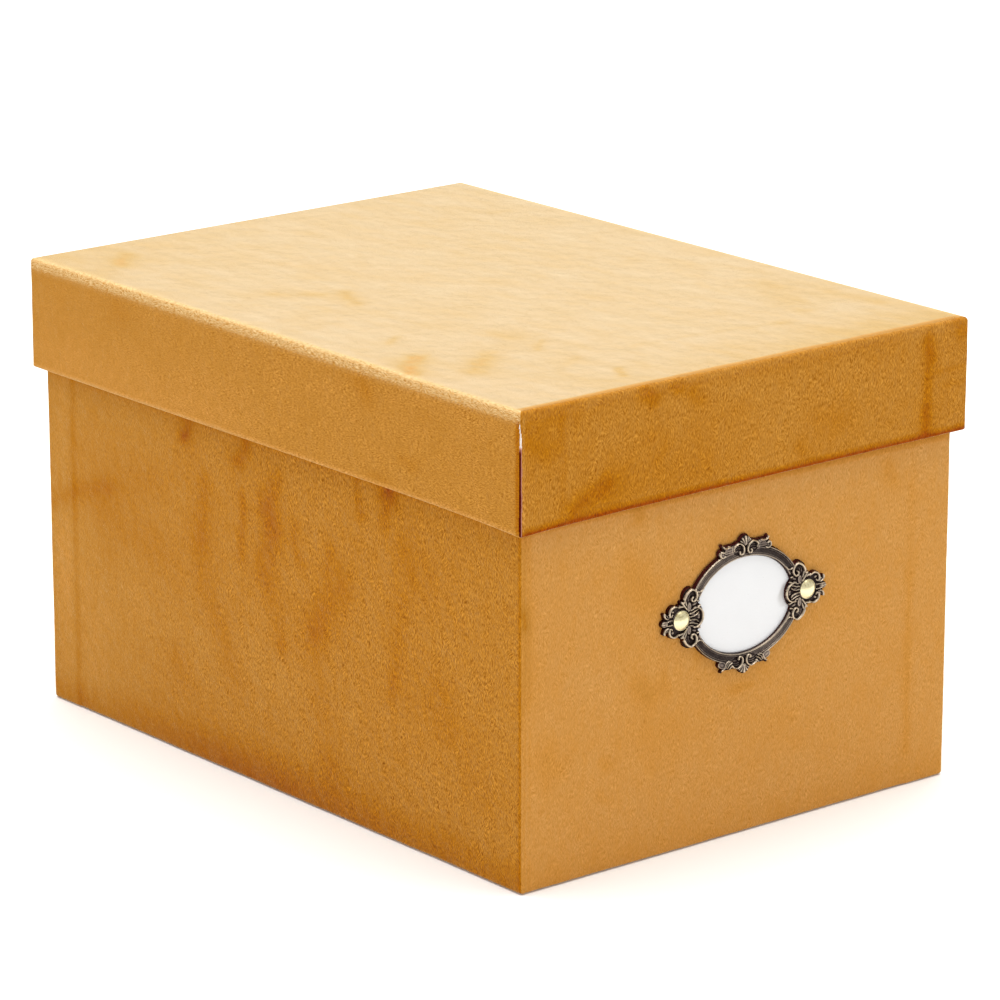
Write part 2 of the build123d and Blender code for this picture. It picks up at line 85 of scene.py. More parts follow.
@dataclass
class Paint:
    """A material being mixed: its Principled shader and the kinds of node that the finishes are made of."""

    name: str
    material: bpy.types.Material = field(init=False)
    shader: bpy.types.Node = field(init=False)

    def __post_init__(self) -> None:
        """Makes an empty material with a Principled shader."""
        self.material = bpy.data.materials.new(self.name)
        self.material.use_nodes = True
        self.material.node_tree.nodes.clear()
        self.shader = self.add("ShaderNodeBsdfPrincipled")
        self.add("ShaderNodeOutputMaterial", links={"Surface": self.shader.outputs[0]})

    def add(
        self, kind: str, settings: dict[str | int, object] | None = None, links: dict[str | int, Socket] | None = None
    ) -> bpy.types.Node:
        """Adds one shader node with its settings and links.

        Args:
            kind: The node's type name.
            settings: Values by name: a lower-case name is a property, any other name or a number is an input.
            links: Output sockets by the name or number of the input that they go to.

        Returns:
            The new node.
        """
        tree = self.material.node_tree
        node = tree.nodes.new(kind)
        for name, value in (settings or {}).items():
            if isinstance(name, str) and name.islower():
                setattr(node, name, value)
            else:
                node.inputs[name].default_value = value
        for name, socket in (links or {}).items():
            tree.links.new(socket, node.inputs[name])
        return node

    def work(self, operation: str, *terms: Term, clamp: bool = False) -> Socket:
        """Works out a sum, such as ADD or MULTIPLY_ADD, on sockets or numbers, kept between 0 and 1 if clamped."""
        settings, links = {"operation": operation, "use_clamp": clamp}, {}
        for index, term in enumerate(terms):
            (links if isinstance(term, Socket) else settings)[index] = term
        return self.add("ShaderNodeMath", settings, links).outputs[0]

    def work_vector(self, operation: str, *terms: Term) -> Socket:
        """Works out a sum on colours or vectors, from sockets or tuples. A single number counts for all three parts."""
        settings, links = {"operation": operation}, {}
        for index, term in enumerate(terms):
            (links if isinstance(term, Socket) else settings)[index] = term
        return self.add("ShaderNodeVectorMath", settings, links).outputs[0]

    def vary(self, base: Term, noise: Socket, share: Term, clamp: bool = False) -> Socket:
        """Adds to a base a share of how far a noise lies from its middle, 0.5."""
        return self.work("MULTIPLY_ADD", self.work("SUBTRACT", noise, 0.5), share, base, clamp=clamp)

    def noise(
        self, place: Socket, size: tuple[float, ...], detail: float = 2.0, roughness: float = 0.5, twist: float = 0.0
    ) -> Socket:
        """Noise whose marks have a given size.

        Args:
            place: The coordinates.
            size: The size of a mark along each axis, in their units. A third size of 1 may be left out.
            detail: The number of finer layers.
            roughness: The share of each finer layer.
            twist: How much the marks are twisted.

        Returns:
            The noise's value socket, about 0.5 on average.
        """
        settings = {"vector_type": "TEXTURE", "Scale": (*size, 1.0)[:3]}
        scaled = self.add("ShaderNodeMapping", settings, {"Vector": place}).outputs[0]
        settings = {"Scale": 1.0, "Detail": detail, "Roughness": roughness, "Distortion": twist}
        return self.add("ShaderNodeTexNoise", settings, {"Vector": scaled}).outputs["Fac"]

    def ramp(self, factor: Socket, stops: Stops) -> Socket:
        """Turns a factor into a colour that runs through several stops, from low to high."""
        node = self.add("ShaderNodeValToRGB", links={"Fac": factor})
        elements = node.color_ramp.elements
        while len(elements) < len(stops):
            elements.new(0.5)
        for element, (place, code) in zip(elements, stops):
            element.position = place
            element.color = to_linear(code)
        return node.outputs["Color"]

    def blend(self, share: Socket, first: Socket | str, second: str) -> Socket:
        """Mixes a colour, from a socket or in hex, with a second one in hex."""
        settings, links = {"data_type": "RGBA", 7: to_linear(second)}, {0: share}
        if isinstance(first, str):
            settings[6] = to_linear(first)
        else:
            links[6] = first
        return self.add("ShaderNodeMix", settings, links).outputs[2]

    def attribute(self, name: str) -> Socket:
        """The value of a mesh attribute."""
        return self.add("ShaderNodeAttribute", {"attribute_name": name}).outputs["Fac"]

    def cloth(self) -> Socket:
        """The flat cloth's own coordinates, in millimetres."""
        return self.add("ShaderNodeUVMap", {"uv_map": "cloth"}).outputs[0]

    def place(self) -> Socket:
        """The object's coordinates, in metres."""
        return self.add("ShaderNodeTexCoord").outputs["Object"]

    def finish(
        self, inputs: dict[str, Term], height: Socket | None = None, bump: Pair = (0.0, 0.0)
    ) -> bpy.types.Material:
        """Fills the shader's inputs.

        Args:
            inputs: Sockets or values by the input's name.
            height: What the surface's bumps follow.
            bump: The bumps' strength, and their depth in millimetres.

        Returns:
            The finished material.
        """
        if height is not None:
            settings = {"Strength": bump[0], "Distance": bump[1] * MM}
            inputs["Normal"] = self.add("ShaderNodeBump", settings, {"Height": height}).outputs[0]
        for name, value in inputs.items():
            if isinstance(value, Socket):
                self.material.node_tree.links.new(value, self.shader.inputs[name])
            else:
                self.shader.inputs[name].default_value = value
        return self.material


@dataclass(frozen=True)
class VelvetFinish:
    """Short-pile polyester velvet, knitted and brushed, glued over board.

    The eye gets a matt, deep colour seen straight on, a pale bloom where the pile is seen edge on,
    fine short streaks of lay, and darker smudges where a finger has brushed the pile the other way.
    """

    name: str = "mustard_short_pile_velvet"
    stops: Stops = (
        (0.0, "#954200"), (0.15, "#A45D00"), (0.3, "#AE6C0C"), (0.45, "#B67B2C"), (0.6, "#C5883C"),
        (0.71, "#C9924F"), (0.78, "#C6A16A"), (0.88, "#CCB08B"), (1.0, "#D8C4A6"),
    )
    bloom: str = "#FFF3BC"
    bloom_spread: float = 0.32
    # The colour of the painted highlight along the lid's rolled edges.
    pale: str = "#E9C78E"
    grain_tint: tuple[float, float, float] = (0.74, 1.0, 1.75)
    grain: Pair = (0.28, 1.1)
    curl: Pair = (0.6, 1.2)
    clump: Pair = (2.2, 4.6)
    patch: Pair = (9.0, 16.0)
    mottle: Pair = (18.0, 23.4)
    streak: Pair = (0.3, 1.5)
    drift: float = 6.0
    wander: tuple[float, float, float] = (5.0, 2.5, 0.0)
    contrast: float = 2.15

    def material(self) -> bpy.types.Material:
        """Builds the material.

        It reads the flat cloth's own map, in millimetres, and four attributes: nap for the lay's shade and
        painted light, smudge for brushed strokes, pile for how lively the grain is, and one for a painted highlight on
        an edge.
        """
        paint = Paint(self.name)
        nap, smudge, lively, fray = (paint.attribute(name) for name in ("nap", "smudge", "pile", "fray"))
        cloth = paint.cloth()
        # The lay of the pile wanders a little: the grain's coordinates are swayed by a slow noise.
        settings = {"Scale": 1 / self.drift, "Detail": 1.0}
        drift = paint.add("ShaderNodeTexNoise", settings, {"Vector": cloth}).outputs["Color"]
        centred = paint.work_vector("SUBTRACT", drift, (0.5, 0.5, 0.5))
        swayed = paint.work_vector("MULTIPLY_ADD", centred, self.wander, cloth)
        grain = paint.noise(swayed, self.grain, 1.5, 0.55, 0.4)
        curls = paint.noise(swayed, self.curl, 1.0, 0.5, 1.0)
        clumps = paint.noise(swayed, self.clump, 2.0, 0.55, 0.8)
        patches = paint.noise(cloth, self.patch, twist=0.6)
        mottle = paint.noise(cloth, self.mottle, twist=0.5)
        streaks = paint.noise(swayed, self.streak, 2.0, 0.6, 0.3)
        pile = paint.work("MULTIPLY_ADD", grain, 0.8, paint.work("MULTIPLY", curls, 0.2))
        # A smudge's edge is ragged: its depth is scaled by the clumps of pile that it moved.
        ragged = paint.work("MULTIPLY_ADD", clumps, 1.3, 0.35)
        lay = paint.work("SUBTRACT", nap, paint.work("MULTIPLY", smudge, ragged))
        # Where the grain is calm, as on the top, the clumps are faint too.
        clumped = paint.work("MULTIPLY", paint.work("MULTIPLY", lively, 3.0, clamp=True), 0.2)
        for noise, share in ((clumps, clumped), (patches, 0.13), (mottle, 0.12)):
            lay = paint.vary(lay, noise, share)
        tone = paint.work("MULTIPLY_ADD", lay, 0.5, 0.5, clamp=True)
        patchy = paint.work("MULTIPLY_ADD", patches, 1.1, 0.45)
        depth = paint.work("MULTIPLY", paint.work("MULTIPLY", lively, patchy), self.contrast)
        # Between the raised pile the dye looks deeper: blue and green fall faster than red.
        shade = paint.work_vector("MULTIPLY_ADD", paint.vary(0.0, pile, depth), self.grain_tint, (1.0, 1.0, 1.0))
        grained = paint.work_vector("MULTIPLY", paint.ramp(tone, self.stops), shade)
        # Painted highlight: along the rolled edges of the lid the colour goes pale in short streaks, as where raised
        # pile catches the light.
        highlight_share = paint.work("MULTIPLY", fray, paint.vary(0.58, streaks, 4.2), clamp=True)
        inputs = {
            "Base Color": paint.blend(highlight_share, grained, self.pale),
            "Roughness": 0.95,
            "Specular IOR Level": 0.0,
            "Sheen Weight": 1.0,
            "Sheen Roughness": self.bloom_spread,
            "Sheen Tint": to_linear(self.bloom),
        }
        return paint.finish(inputs, paint.work("MULTIPLY_ADD", clumps, 0.12, pile), (0.5, 0.4))


@dataclass(frozen=True)
class RawEdgeFinish:
    """The cut edge of the velvet: dyed pile roots in a slit painted dark with its shadow, and the white knitted backing
    where it curls out.
    """

    name: str = "raw_velvet_edge"
    stops: Stops = ((0.0, "#4A0C03"), (0.12, "#641809"), (0.5, "#C48E7C"), (0.8, "#EFE3DA"), (1.0, "#F6EEE6"))
    thread: Pair = (0.3, 0.6)

    def material(self) -> bpy.types.Material:
        """Builds the material. It reads the attribute seam: 0 in the slit, 1 on the backing."""
        paint = Paint(self.name)
        threads = paint.noise(paint.cloth(), self.thread, 2.0, 0.6)
        colour = paint.ramp(paint.vary(paint.attribute("seam"), threads, 0.3, clamp=True), self.stops)
        return paint.finish({"Base Color": colour, "Roughness": 0.95, "Specular IOR Level": 0.05}, threads, (0.4, 0.1))


@dataclass(frozen=True)
class AntiqueMetalFinish:
    """Cast zinc plated in bronze, blackened with acid and worn back on its high places.

    The eye gets near-black hollows, brown-grey flanks and pinkish-beige worn ridges.
    """

    name: str = "antique_bronze_casting"
    stops: Stops = (
        (0.0, "#190805"), (0.2, "#2A201D"), (0.4, "#50463F"), (0.6, "#7C6D64"), (0.8, "#A0917F"), (1.0, "#C8B79E"),
    )
    # The deep red of the pressed pile in the frame's shadow, painted down the frame's walls.
    root: str = "#3E0E05"
    pit: float = 0.35
    tarnish: float = 2.5

    def material(self) -> bpy.types.Material:
        """Builds the material. It reads two attributes: one is high on worn ridges and painted highlights, the other is
        1 down the walls, which take the painted red of the frame's shadow on the pile.
        """
        paint = Paint(self.name)
        place = paint.place()
        pits = paint.noise(place, (self.pit * MM,) * 3, 3.0, 0.6)
        tarnish = paint.noise(place, (self.tarnish * MM,) * 3)
        rubbed = paint.vary(paint.vary(paint.attribute("wear_and_light"), pits, 0.35), tarnish, 0.25, clamp=True)
        # Painted shadow: the walls are mixed towards the deep red of the pressed pile in the frame's shadow.
        inputs = {
            "Base Color": paint.blend(paint.attribute("wall_shadow"), paint.ramp(rubbed, self.stops), self.root),
            "Metallic": 0.85,
            "Roughness": paint.work("MULTIPLY_ADD", rubbed, -0.22, 0.52),
        }
        return paint.finish(inputs, pits, (0.3, 0.05))


@dataclass(frozen=True)
class BrassFinish:
    """Rolled brass, lacquered and lightly tarnished.

    The eye gets a pale yellow shine with fine scratches and small dull brown spots.
    """

    name: str = "bright_rolled_brass"
    clean: str = "#F8ECBE"
    dull: str = "#B7A565"
    roughness: float = 0.3
    spot: float = 1.1
    spot_share: float = 0.6
    scratch: tuple[float, float, float] = (0.9, 0.9, 0.05)

    def material(self) -> bpy.types.Material:
        """Builds the material."""
        paint = Paint(self.name)
        place = paint.place()
        spots = paint.noise(place, (self.spot * MM,) * 3, 3.0, 0.65)
        scratches = paint.noise(place, tuple(size * MM for size in self.scratch), 2.0, 0.6)
        # Painted reflection: the upper part of a cap is dulled more, as if the frame above were mirrored in it, and the
        # tarnish spots gather there.
        level = paint.add("ShaderNodeSeparateXYZ", links={0: place}).outputs["Z"]
        upper = paint.work("SUBTRACT", level, FRAME_HEIGHT * MM)
        tarnish_and_reflection = paint.work("MULTIPLY_ADD", upper, 0.06 / MM, paint.work("SUBTRACT", spots, self.spot_share))
        inputs = {
            "Base Color": paint.blend(paint.work("MULTIPLY", tarnish_and_reflection, 3.5, clamp=True), self.clean, self.dull),
            "Metallic": 1.0,
            "Roughness": paint.work("MULTIPLY_ADD", scratches, 0.18, self.roughness - 0.09),
        }
        return paint.finish(inputs, scratches, (0.12, 0.03))


@dataclass(frozen=True)
class PaperFinish:
    """Paper or board, pressed from fibre.

    The eye gets a matt sheet with faint long fibres, cloudy patches and a few darker flecks.
    """

    name: str
    pale: str
    dark: str
    fleck: str
    roughness: float = 0.85
    fibre: float = 0.35
    fleck_share: float = 0.69
    cloud: float = 9.0
    speck: float = 0.8
    relief: float = 0.05
    gloss: float = 0.0
    # The grey of a painted shadow, mixed in by a piece's attribute.
    shadow_grey: str = "#9A928A"

    def material(self) -> bpy.types.Material:
        """Builds the material. Where a piece has its painted-shadow attribute, the paper is mixed by that share towards
        the shadow's grey.
        """
        paint = Paint(self.name)
        place, thin = paint.place(), self.fibre * MM
        fibres = paint.noise(place, (6 * thin, 6 * thin, thin), 3.0, 0.6, 1.2)
        clouds = paint.noise(place, (self.cloud * MM,) * 3, 3.0)
        flecks = paint.noise(place, (self.speck * MM,) * 3, 1.0, 0.4, 0.5)
        tone = paint.work("MULTIPLY_ADD", fibres, 0.5, paint.work("MULTIPLY", clouds, 0.5))
        sheet = paint.ramp(tone, ((0.3, self.dark), (0.7, self.pale)))
        flecked = paint.blend(paint.work("GREATER_THAN", flecks, self.fleck_share), sheet, self.fleck)
        inputs = {
            "Base Color": paint.blend(paint.attribute("rubbed"), flecked, self.shadow_grey),
            "Roughness": self.roughness,
            "Coat Weight": self.gloss,
            "Coat Roughness": 0.12,
        }
        return paint.finish(inputs, fibres, (0.4, self.relief))


def link(name: str, data: bpy.types.ID) -> bpy.types.Object:
    """Puts new data into the scene as an object at the origin."""
    obj = bpy.data.objects.new(name, data)
    bpy.context.scene.collection.objects.link(obj)
    return obj


def new_piece(
    name: str, points: Array, faces: list[list[int]], values: dict[str, Array], sharp_angle: float
) -> bpy.types.Object:
    """Makes a smooth-shaded mesh object.

    Args:
        name: The piece's name.
        points: The corners, in millimetres.
        faces: The corner numbers of each face.
        values: Attribute values at the corners, by name.
        sharp_angle: Edges that turn more than this many degrees stay sharp.

    Returns:
        The object, at the origin, in metres.
    """
    mesh = bpy.data.meshes.new(name)
    mesh.from_pydata((points * MM).tolist(), [], faces)
    for key, value in values.items():
        mesh.attributes.new(key, "FLOAT", "POINT").data.foreach_set("value", value.astype(np.float32))
    mesh.polygons.foreach_set("use_smooth", np.ones(len(mesh.polygons), bool))
    mesh.set_sharp_from_angle(angle=np.radians(sharp_angle))
    mesh.update()
    return link(name, mesh)


def quad_corners(grid: Array) -> Array:
    """The four corners of each square of a grid, in order, on a new last axis."""
    return np.stack([grid[:-1, :-1], grid[:-1, 1:], grid[1:, 1:], grid[1:, :-1]], axis=-1)


@dataclass
class Skin:
    """A mesh gathered from grids of points, welded where they meet."""

    name: str
    points: list[Array] = field(default_factory=list)
    faces: list[Array] = field(default_factory=list)
    maps: list[Array] = field(default_factory=list)
    values: dict[str, list[Array]] = field(default_factory=dict)
    count: int = 0

    def add_grid(self, points: Array, cloth: Array, **values: Array) -> None:
        """Adds a grid of points as four-sided faces between neighbours.

        Args:
            points: Places of shape (rows, columns, 3), in millimetres.
            cloth: Places on the flat cloth of shape (rows, columns, 2), in millimetres.
            values: Named attribute values of shape (rows, columns).
        """
        shape = points.shape[:2]
        index = np.arange(shape[0] * shape[1]).reshape(shape) + self.count
        self.faces.append(quad_corners(index).reshape(-1, 4))
        self.points.append(points.reshape(-1, 3))
        self.maps.append(cloth.reshape(-1, 2))
        for name, value in values.items():
            self.values.setdefault(name, []).append(np.broadcast_to(value, shape).ravel())
        self.count += index.size

    def build(self, sharp_angle: float = 60.0) -> bpy.types.Object:
        """Welds the grids and makes the object.

        Points that round to the same tenth of a micron become one, and a face keeps each of its
        different corners once. The whole mesh is turned if its volume, a third of the sum over
        triangles of corner times area vector, comes out negative.

        Args:
            sharp_angle: Edges that turn more than this many degrees stay sharp.

        Returns:
            The object, at the origin, in metres.
        """
        points, faces, cloth = (np.concatenate(parts) for parts in (self.points, self.faces, self.maps))
        keys = np.round(points * 1e4).astype(np.int64)
        _, first, welded = np.unique(keys, axis=0, return_index=True, return_inverse=True)
        places, ids = points[first], welded.ravel()[faces]
        a, b, c, d = (places[ids[:, k]] for k in range(4))
        if (a * np.cross(b, c)).sum() + (a * np.cross(c, d)).sum() < 0:
            faces, ids = faces[:, ::-1], ids[:, ::-1]
        fresh = ids != np.roll(ids, 1, axis=1)
        kept = fresh.sum(axis=1) >= 3
        faces, ids, fresh = faces[kept], ids[kept], fresh[kept]
        corners = [row[keep].tolist() for row, keep in zip(ids, fresh)]
        values = {name: np.concatenate(parts)[first] for name, parts in self.values.items()}
        obj = new_piece(self.name, places, corners, values, sharp_angle)
        layer = obj.data.uv_layers.new(name="cloth")
        layer.data.foreach_set("uv", cloth[faces[fresh]].astype(np.float32).ravel())
        return obj


def mark_faces(mesh: bpy.types.Mesh, name: str, level: float, slot: int) -> None:
    """Gives another material slot to the faces whose corners all have more than a level of an attribute."""
    value = np.empty(len(mesh.vertices), np.float32)
    mesh.attributes[name].data.foreach_get("value", value)
    corners, starts = np.empty(len(mesh.loops), np.int32), np.empty(len(mesh.polygons), np.int32)
    mesh.loops.foreach_get("vertex_index", corners)
    mesh.polygons.foreach_get("loop_start", starts)
    lowest = np.minimum.reduceat(value[corners], starts)
    mesh.polygons.foreach_set("material_index", np.where(lowest > level, slot, 0).astype(np.int32))


def report(obj: bpy.types.Object, body: Body) -> None:
    """Logs a finished piece: its name, its body and its size in faces."""
    LOG.info("%s rides on %s, %d faces", obj.name, body.value, len(obj.data.polygons))


def dress(node: str, material: bpy.types.Material) -> None:
    """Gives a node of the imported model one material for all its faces."""
    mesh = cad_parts[node].data
    mesh.materials.clear()
    mesh.materials.append(material)


def waves(along: Array, across: Array, seed: int, lengths: tuple[float, ...]) -> Array:
    """Soft unevenness: a sum of sine waves at several lengths and fixed, seeded angles and starts.

    Args:
        along: First coordinate, in millimetres.
        across: Second coordinate, in millimetres.
        seed: The number that fixes the angles and starts.
        lengths: The wavelengths, in millimetres.

    Returns:
        Values between about -1 and 1.
    """
    dice = np.random.default_rng(seed)
    total = np.zeros(np.broadcast(along, across).shape)
    for length in lengths:
        angle, start = dice.uniform(0, TURN, 2)
        total = total + np.sin(TURN * (np.cos(angle) * along + np.sin(angle) * across) / length + start)
    return total / len(lengths)


def ease(low: float, high: float, value: Array) -> Array:
    """A smooth step: 0 below low, 1 above high, and 3t² - 2t³ between them."""
    t = np.clip((value - low) / (high - low), 0, 1)
    return t * t * (3 - 2 * t)


def bell(value: Array, middle: float | Array, width: float) -> Array:
    """A bell: e to the minus (distance from the middle / width)²."""
    return np.exp(-(((value - middle) / width) ** 2))


def pairs(numbers: tuple[float, ...]) -> tuple[Pair, ...]:
    """Coordinates two by two."""
    return tuple(zip(numbers[::2], numbers[1::2]))


def smooth_line(points: tuple[Pair, ...], per_span: int = 7) -> Array:
    """A smooth line through points, by Catmull and Rom's cubic between each pair, with per_span steps."""
    knots = np.array(points, float)
    if len(knots) < 3:
        return knots
    padded = np.vstack([2 * knots[0] - knots[1], knots, 2 * knots[-1] - knots[-2]])
    t = np.linspace(0, 1, per_span, endpoint=False)[:, None]
    p0, p1, p2, p3 = (padded[k : len(padded) - 3 + k, None, :] for k in range(4))
    bend, swing = 2 * p0 - 5 * p1 + 4 * p2 - p3, 3 * p1 - p0 - 3 * p2 + p3
    span = 0.5 * (2 * p1 + (p2 - p0) * t + bend * t**2 + swing * t**3)
    return np.vstack([span.reshape(-1, 2), knots[-1]])


def near_line(line: Array, u: Array, v: Array) -> tuple[Array, Array]:
    """The nearest place on a line of straight pieces: on each piece, the foot of the perpendicular, kept to its ends.

    Args:
        line: Points along the line.
        u: First coordinate of the points asked about.
        v: Second coordinate.

    Returns:
        The distance, and how far along the line its nearest place is, from 0 to 1.
    """
    gap, place = np.full(np.shape(u), np.inf), np.zeros(np.shape(u))
    for k in range(len(line) - 1):
        start, run = line[k], line[k + 1] - line[k]
        t = np.clip(((u - start[0]) * run[0] + (v - start[1]) * run[1]) / max(run @ run, 1e-9), 0, 1)
        away = np.hypot(u - start[0] - t * run[0], v - start[1] - t * run[1])
        nearer = away < gap
        gap, place = np.where(nearer, away, gap), np.where(nearer, (k + t) / (len(line) - 1), place)
    return gap, place


@dataclass(frozen=True)
class Smudge:
    """A stroke where a finger brushed the pile the other way. It looks darker, or lighter if depth is under 0."""

    panel: Panel
    points: tuple[Pair, ...]
    width: float
    depth: float

    def shade(self, panel: Array, along: Array, height: Array) -> Array:
        """The stroke's darkness: a narrow and a wide bell over a distance from its line that wavers.

        Args:
            panel: The panel number of each point.
            along: The level coordinate on the panel, in millimetres.
            height: The upward coordinate on the panel, in millimetres.

        Returns:
            Darkness at each point.
        """
        here = panel == self.panel
        value = np.zeros(panel.shape)
        u, v = along[here], height[here]
        gap, _ = near_line(smooth_line(self.points, 4), u, v)
        gap = gap + 0.3 * self.width * waves(u, v, 41, (7.0, 4.9, 3.7))
        share = (gap / self.width) ** 2
        value[here] = self.depth * (0.52 * np.exp(-share) + 0.38 * np.exp(-share / 4.4))
        return value


def strokes(panel: Panel, *rows: tuple[float, ...]) -> tuple[Smudge, ...]:
    """Strokes on one panel, from rows of width, depth and the coordinates that the stroke runs through."""
    return tuple(Smudge(panel, pairs(row[2:]), *row[:2]) for row in rows)


@dataclass(frozen=True)
class Ring:
    """The plan outline of a wrapped box, walked round from its front left corner by way of the front."""

    half_width: float
    half_depth: float
    radius: float
    step: float = 1.9
    edge_step: float = 0.35
    arc_steps: int = 7

    def stations(self, half: float) -> Array:
        """Places along one straight side, from minus half to half, closer together near its ends.

        The spacing grows from edge_step by the smooth step: the places are the inverse of the
        running total of the spacing's reciprocal.
        """
        fine = np.linspace(-half, half, 4001)
        spacing = self.edge_step + (self.step - self.edge_step) * ease(0.5, 24.0, half - np.abs(fine))
        total = np.concatenate([[0.0], np.cumsum(np.diff(fine) / spacing[:-1])])
        return np.interp(np.linspace(0, total[-1], int(np.ceil(total[-1])) + 1), total, fine)

    def walk(self) -> tuple[Array, Array, Array]:
        """Walks once round, and repeats the first station at the end.

        Returns:
            Foot points on the rectangle that lies one radius in, outward directions, and panel numbers.
        """
        width, depth = self.half_width - self.radius, self.half_depth - self.radius
        across, down = self.stations(width), self.stations(depth)
        lines = (
            np.stack([across, np.full_like(across, -depth)], 1),
            np.stack([np.full_like(down, width), down], 1),
            np.stack([across[::-1], np.full_like(across, depth)], 1),
            np.stack([np.full_like(down, -width), down[::-1]], 1),
        )
        feet, angles, panels = [], [], []
        for panel, line in enumerate(lines):
            angle = 90.0 * (panel - 1)
            turns = angle + np.linspace(0, 90, self.arc_steps + 2)[1:-1]
            feet += [line, np.repeat(line[-1:], self.arc_steps, axis=0)]
            angles += [np.full(len(line), angle), turns]
            panels += [np.full(len(line), panel), np.where(turns - angle < 45, panel, (panel + 1) % 4)]
        turn = np.radians(np.concatenate([*angles, [270.0]]))
        directions = np.stack([np.cos(turn), np.sin(turn)], 1)
        return np.concatenate([*feet, feet[0][:1]]), directions, np.concatenate([*panels, [Panel.FRONT]])

    def place(self, inset: Array, height: Array) -> tuple[Array, Array, Array]:
        """Carries a profile round the outline.

        A point at inset d stands on the rectangle d + r in, pushed out by r, where r is the corner
        radius less d and never under 0, so that further in the corner is sharp.

        Args:
            inset: How far each row lies inside the outline.
            height: The height of each row.

        Returns:
            Points of shape (rows, stations, 3), outward directions (stations, 2) and panels.
        """
        feet, directions, panels = self.walk()
        full = np.array([self.half_width, self.half_depth])
        small = np.where(inset > self.radius - 1e-6, 0.0, self.radius - inset)
        share = (full - inset[:, None] - small[:, None]) / (full - self.radius)
        plan = feet * share[:, None, :] + directions * small[:, None, None]
        rise = np.broadcast_to(height[:, None, None], (*plan.shape[:2], 1))
        return np.concatenate([plan, rise], axis=2), directions, panels


def arc_rows(centre: Pair, radius: float, start: float, end: float, count: int) -> Rows:
    """Rows of a profile along an arc.

    Args:
        centre: Inset and height of the arc's centre.
        radius: The arc's radius.
        start: The first angle in degrees; 0 points outward and 90 upward.
        end: The last angle in degrees.
        count: The number of rows.

    Returns:
        Insets, heights, and the outward and upward parts of the surface's direction.
    """
    turn = np.radians(np.linspace(start, end, count))
    out, up = np.cos(turn), np.sin(turn)
    return centre[0] - radius * out, centre[1] + radius * up, out, up


def line_rows(start: Pair, end: Pair, count: int, facing: Pair = (0.0, 0.0)) -> Rows:
    """Rows of a profile along a straight line, with both its ends, as arc_rows gives them."""
    inset, height = np.linspace(start, end, count).T
    return inset, height, np.full(count, facing[0]), np.full(count, facing[1])


def joined_rows(*parts: Rows) -> Rows:
    """Joins runs of profile rows, leaving out a row that repeats the one before it."""
    inset, height, out, up = (np.concatenate(column) for column in zip(*parts))
    keep = np.concatenate([[True], np.hypot(np.diff(inset), np.diff(height)) > 1e-6])
    return inset[keep], height[keep], out[keep], up[keep]


def running_length(*steps: Array) -> Array:
    """The length walked up to each point of a line, from its coordinates."""
    return np.concatenate([[0.0], np.cumsum(np.hypot(*(np.diff(step) for step in steps)))])


@dataclass
class Survey:
    """Where each point of a covering's walls lies: its panel, its place on it and its distance to the seam."""

    points: Array
    directions: Array
    panel: Array
    endwise: Array
    level: Array
    walked: Array
    seam_at: Array

    @classmethod
    def of(cls, ring: Ring, inset: Array, height: Array) -> "Survey":
        """Carries a profile round an outline and works out each point's place.

        The seam's distance is walked along the outline from the middle of the front left corner, or
        from that of the rear right corner where it is nearer.

        Args:
            ring: The outline.
            inset: How far each row lies inside the outline.
            height: The height of each row.

        Returns:
            The survey.
        """
        points, directions, panels = ring.place(inset, height)
        panel = np.broadcast_to(panels, points.shape[:2])
        endwise = np.isin(panel, (Panel.FRONT, Panel.REAR))
        level = np.where(endwise, points[..., 0], points[..., 1])
        walked = running_length(*points[np.argmin(np.abs(inset)), :, :2].T)
        half_arc = ring.radius * np.pi / 4
        front_left = np.where(walked < walked[-1] / 2, walked + half_arc, walked - walked[-1] + half_arc)
        rear_right = walked - walked[-1] / 2 + half_arc
        seam_at = np.where(np.abs(front_left) < np.abs(rear_right), front_left, rear_right)
        return cls(points, directions, panel, endwise, level, walked, np.broadcast_to(seam_at, panel.shape))

    def lively(self, by_panel: tuple[float, ...]) -> Array:
        """How lively the pile's grain is: a share for each panel, falling towards the rear of the left side."""
        share = np.array(by_panel)[self.panel]
        return share * np.where(self.panel == Panel.LEFT, 1.12 - 0.76 * ease(-30.0, 120.0, self.level), 1.0)

    def push(self, lift: Array, out: Array, up: Array) -> None:
        """Moves the points along their surface's direction."""
        self.points[..., :2] += (lift * out[:, None])[..., None] * self.directions
        self.points[..., 2] += lift * up[:, None]


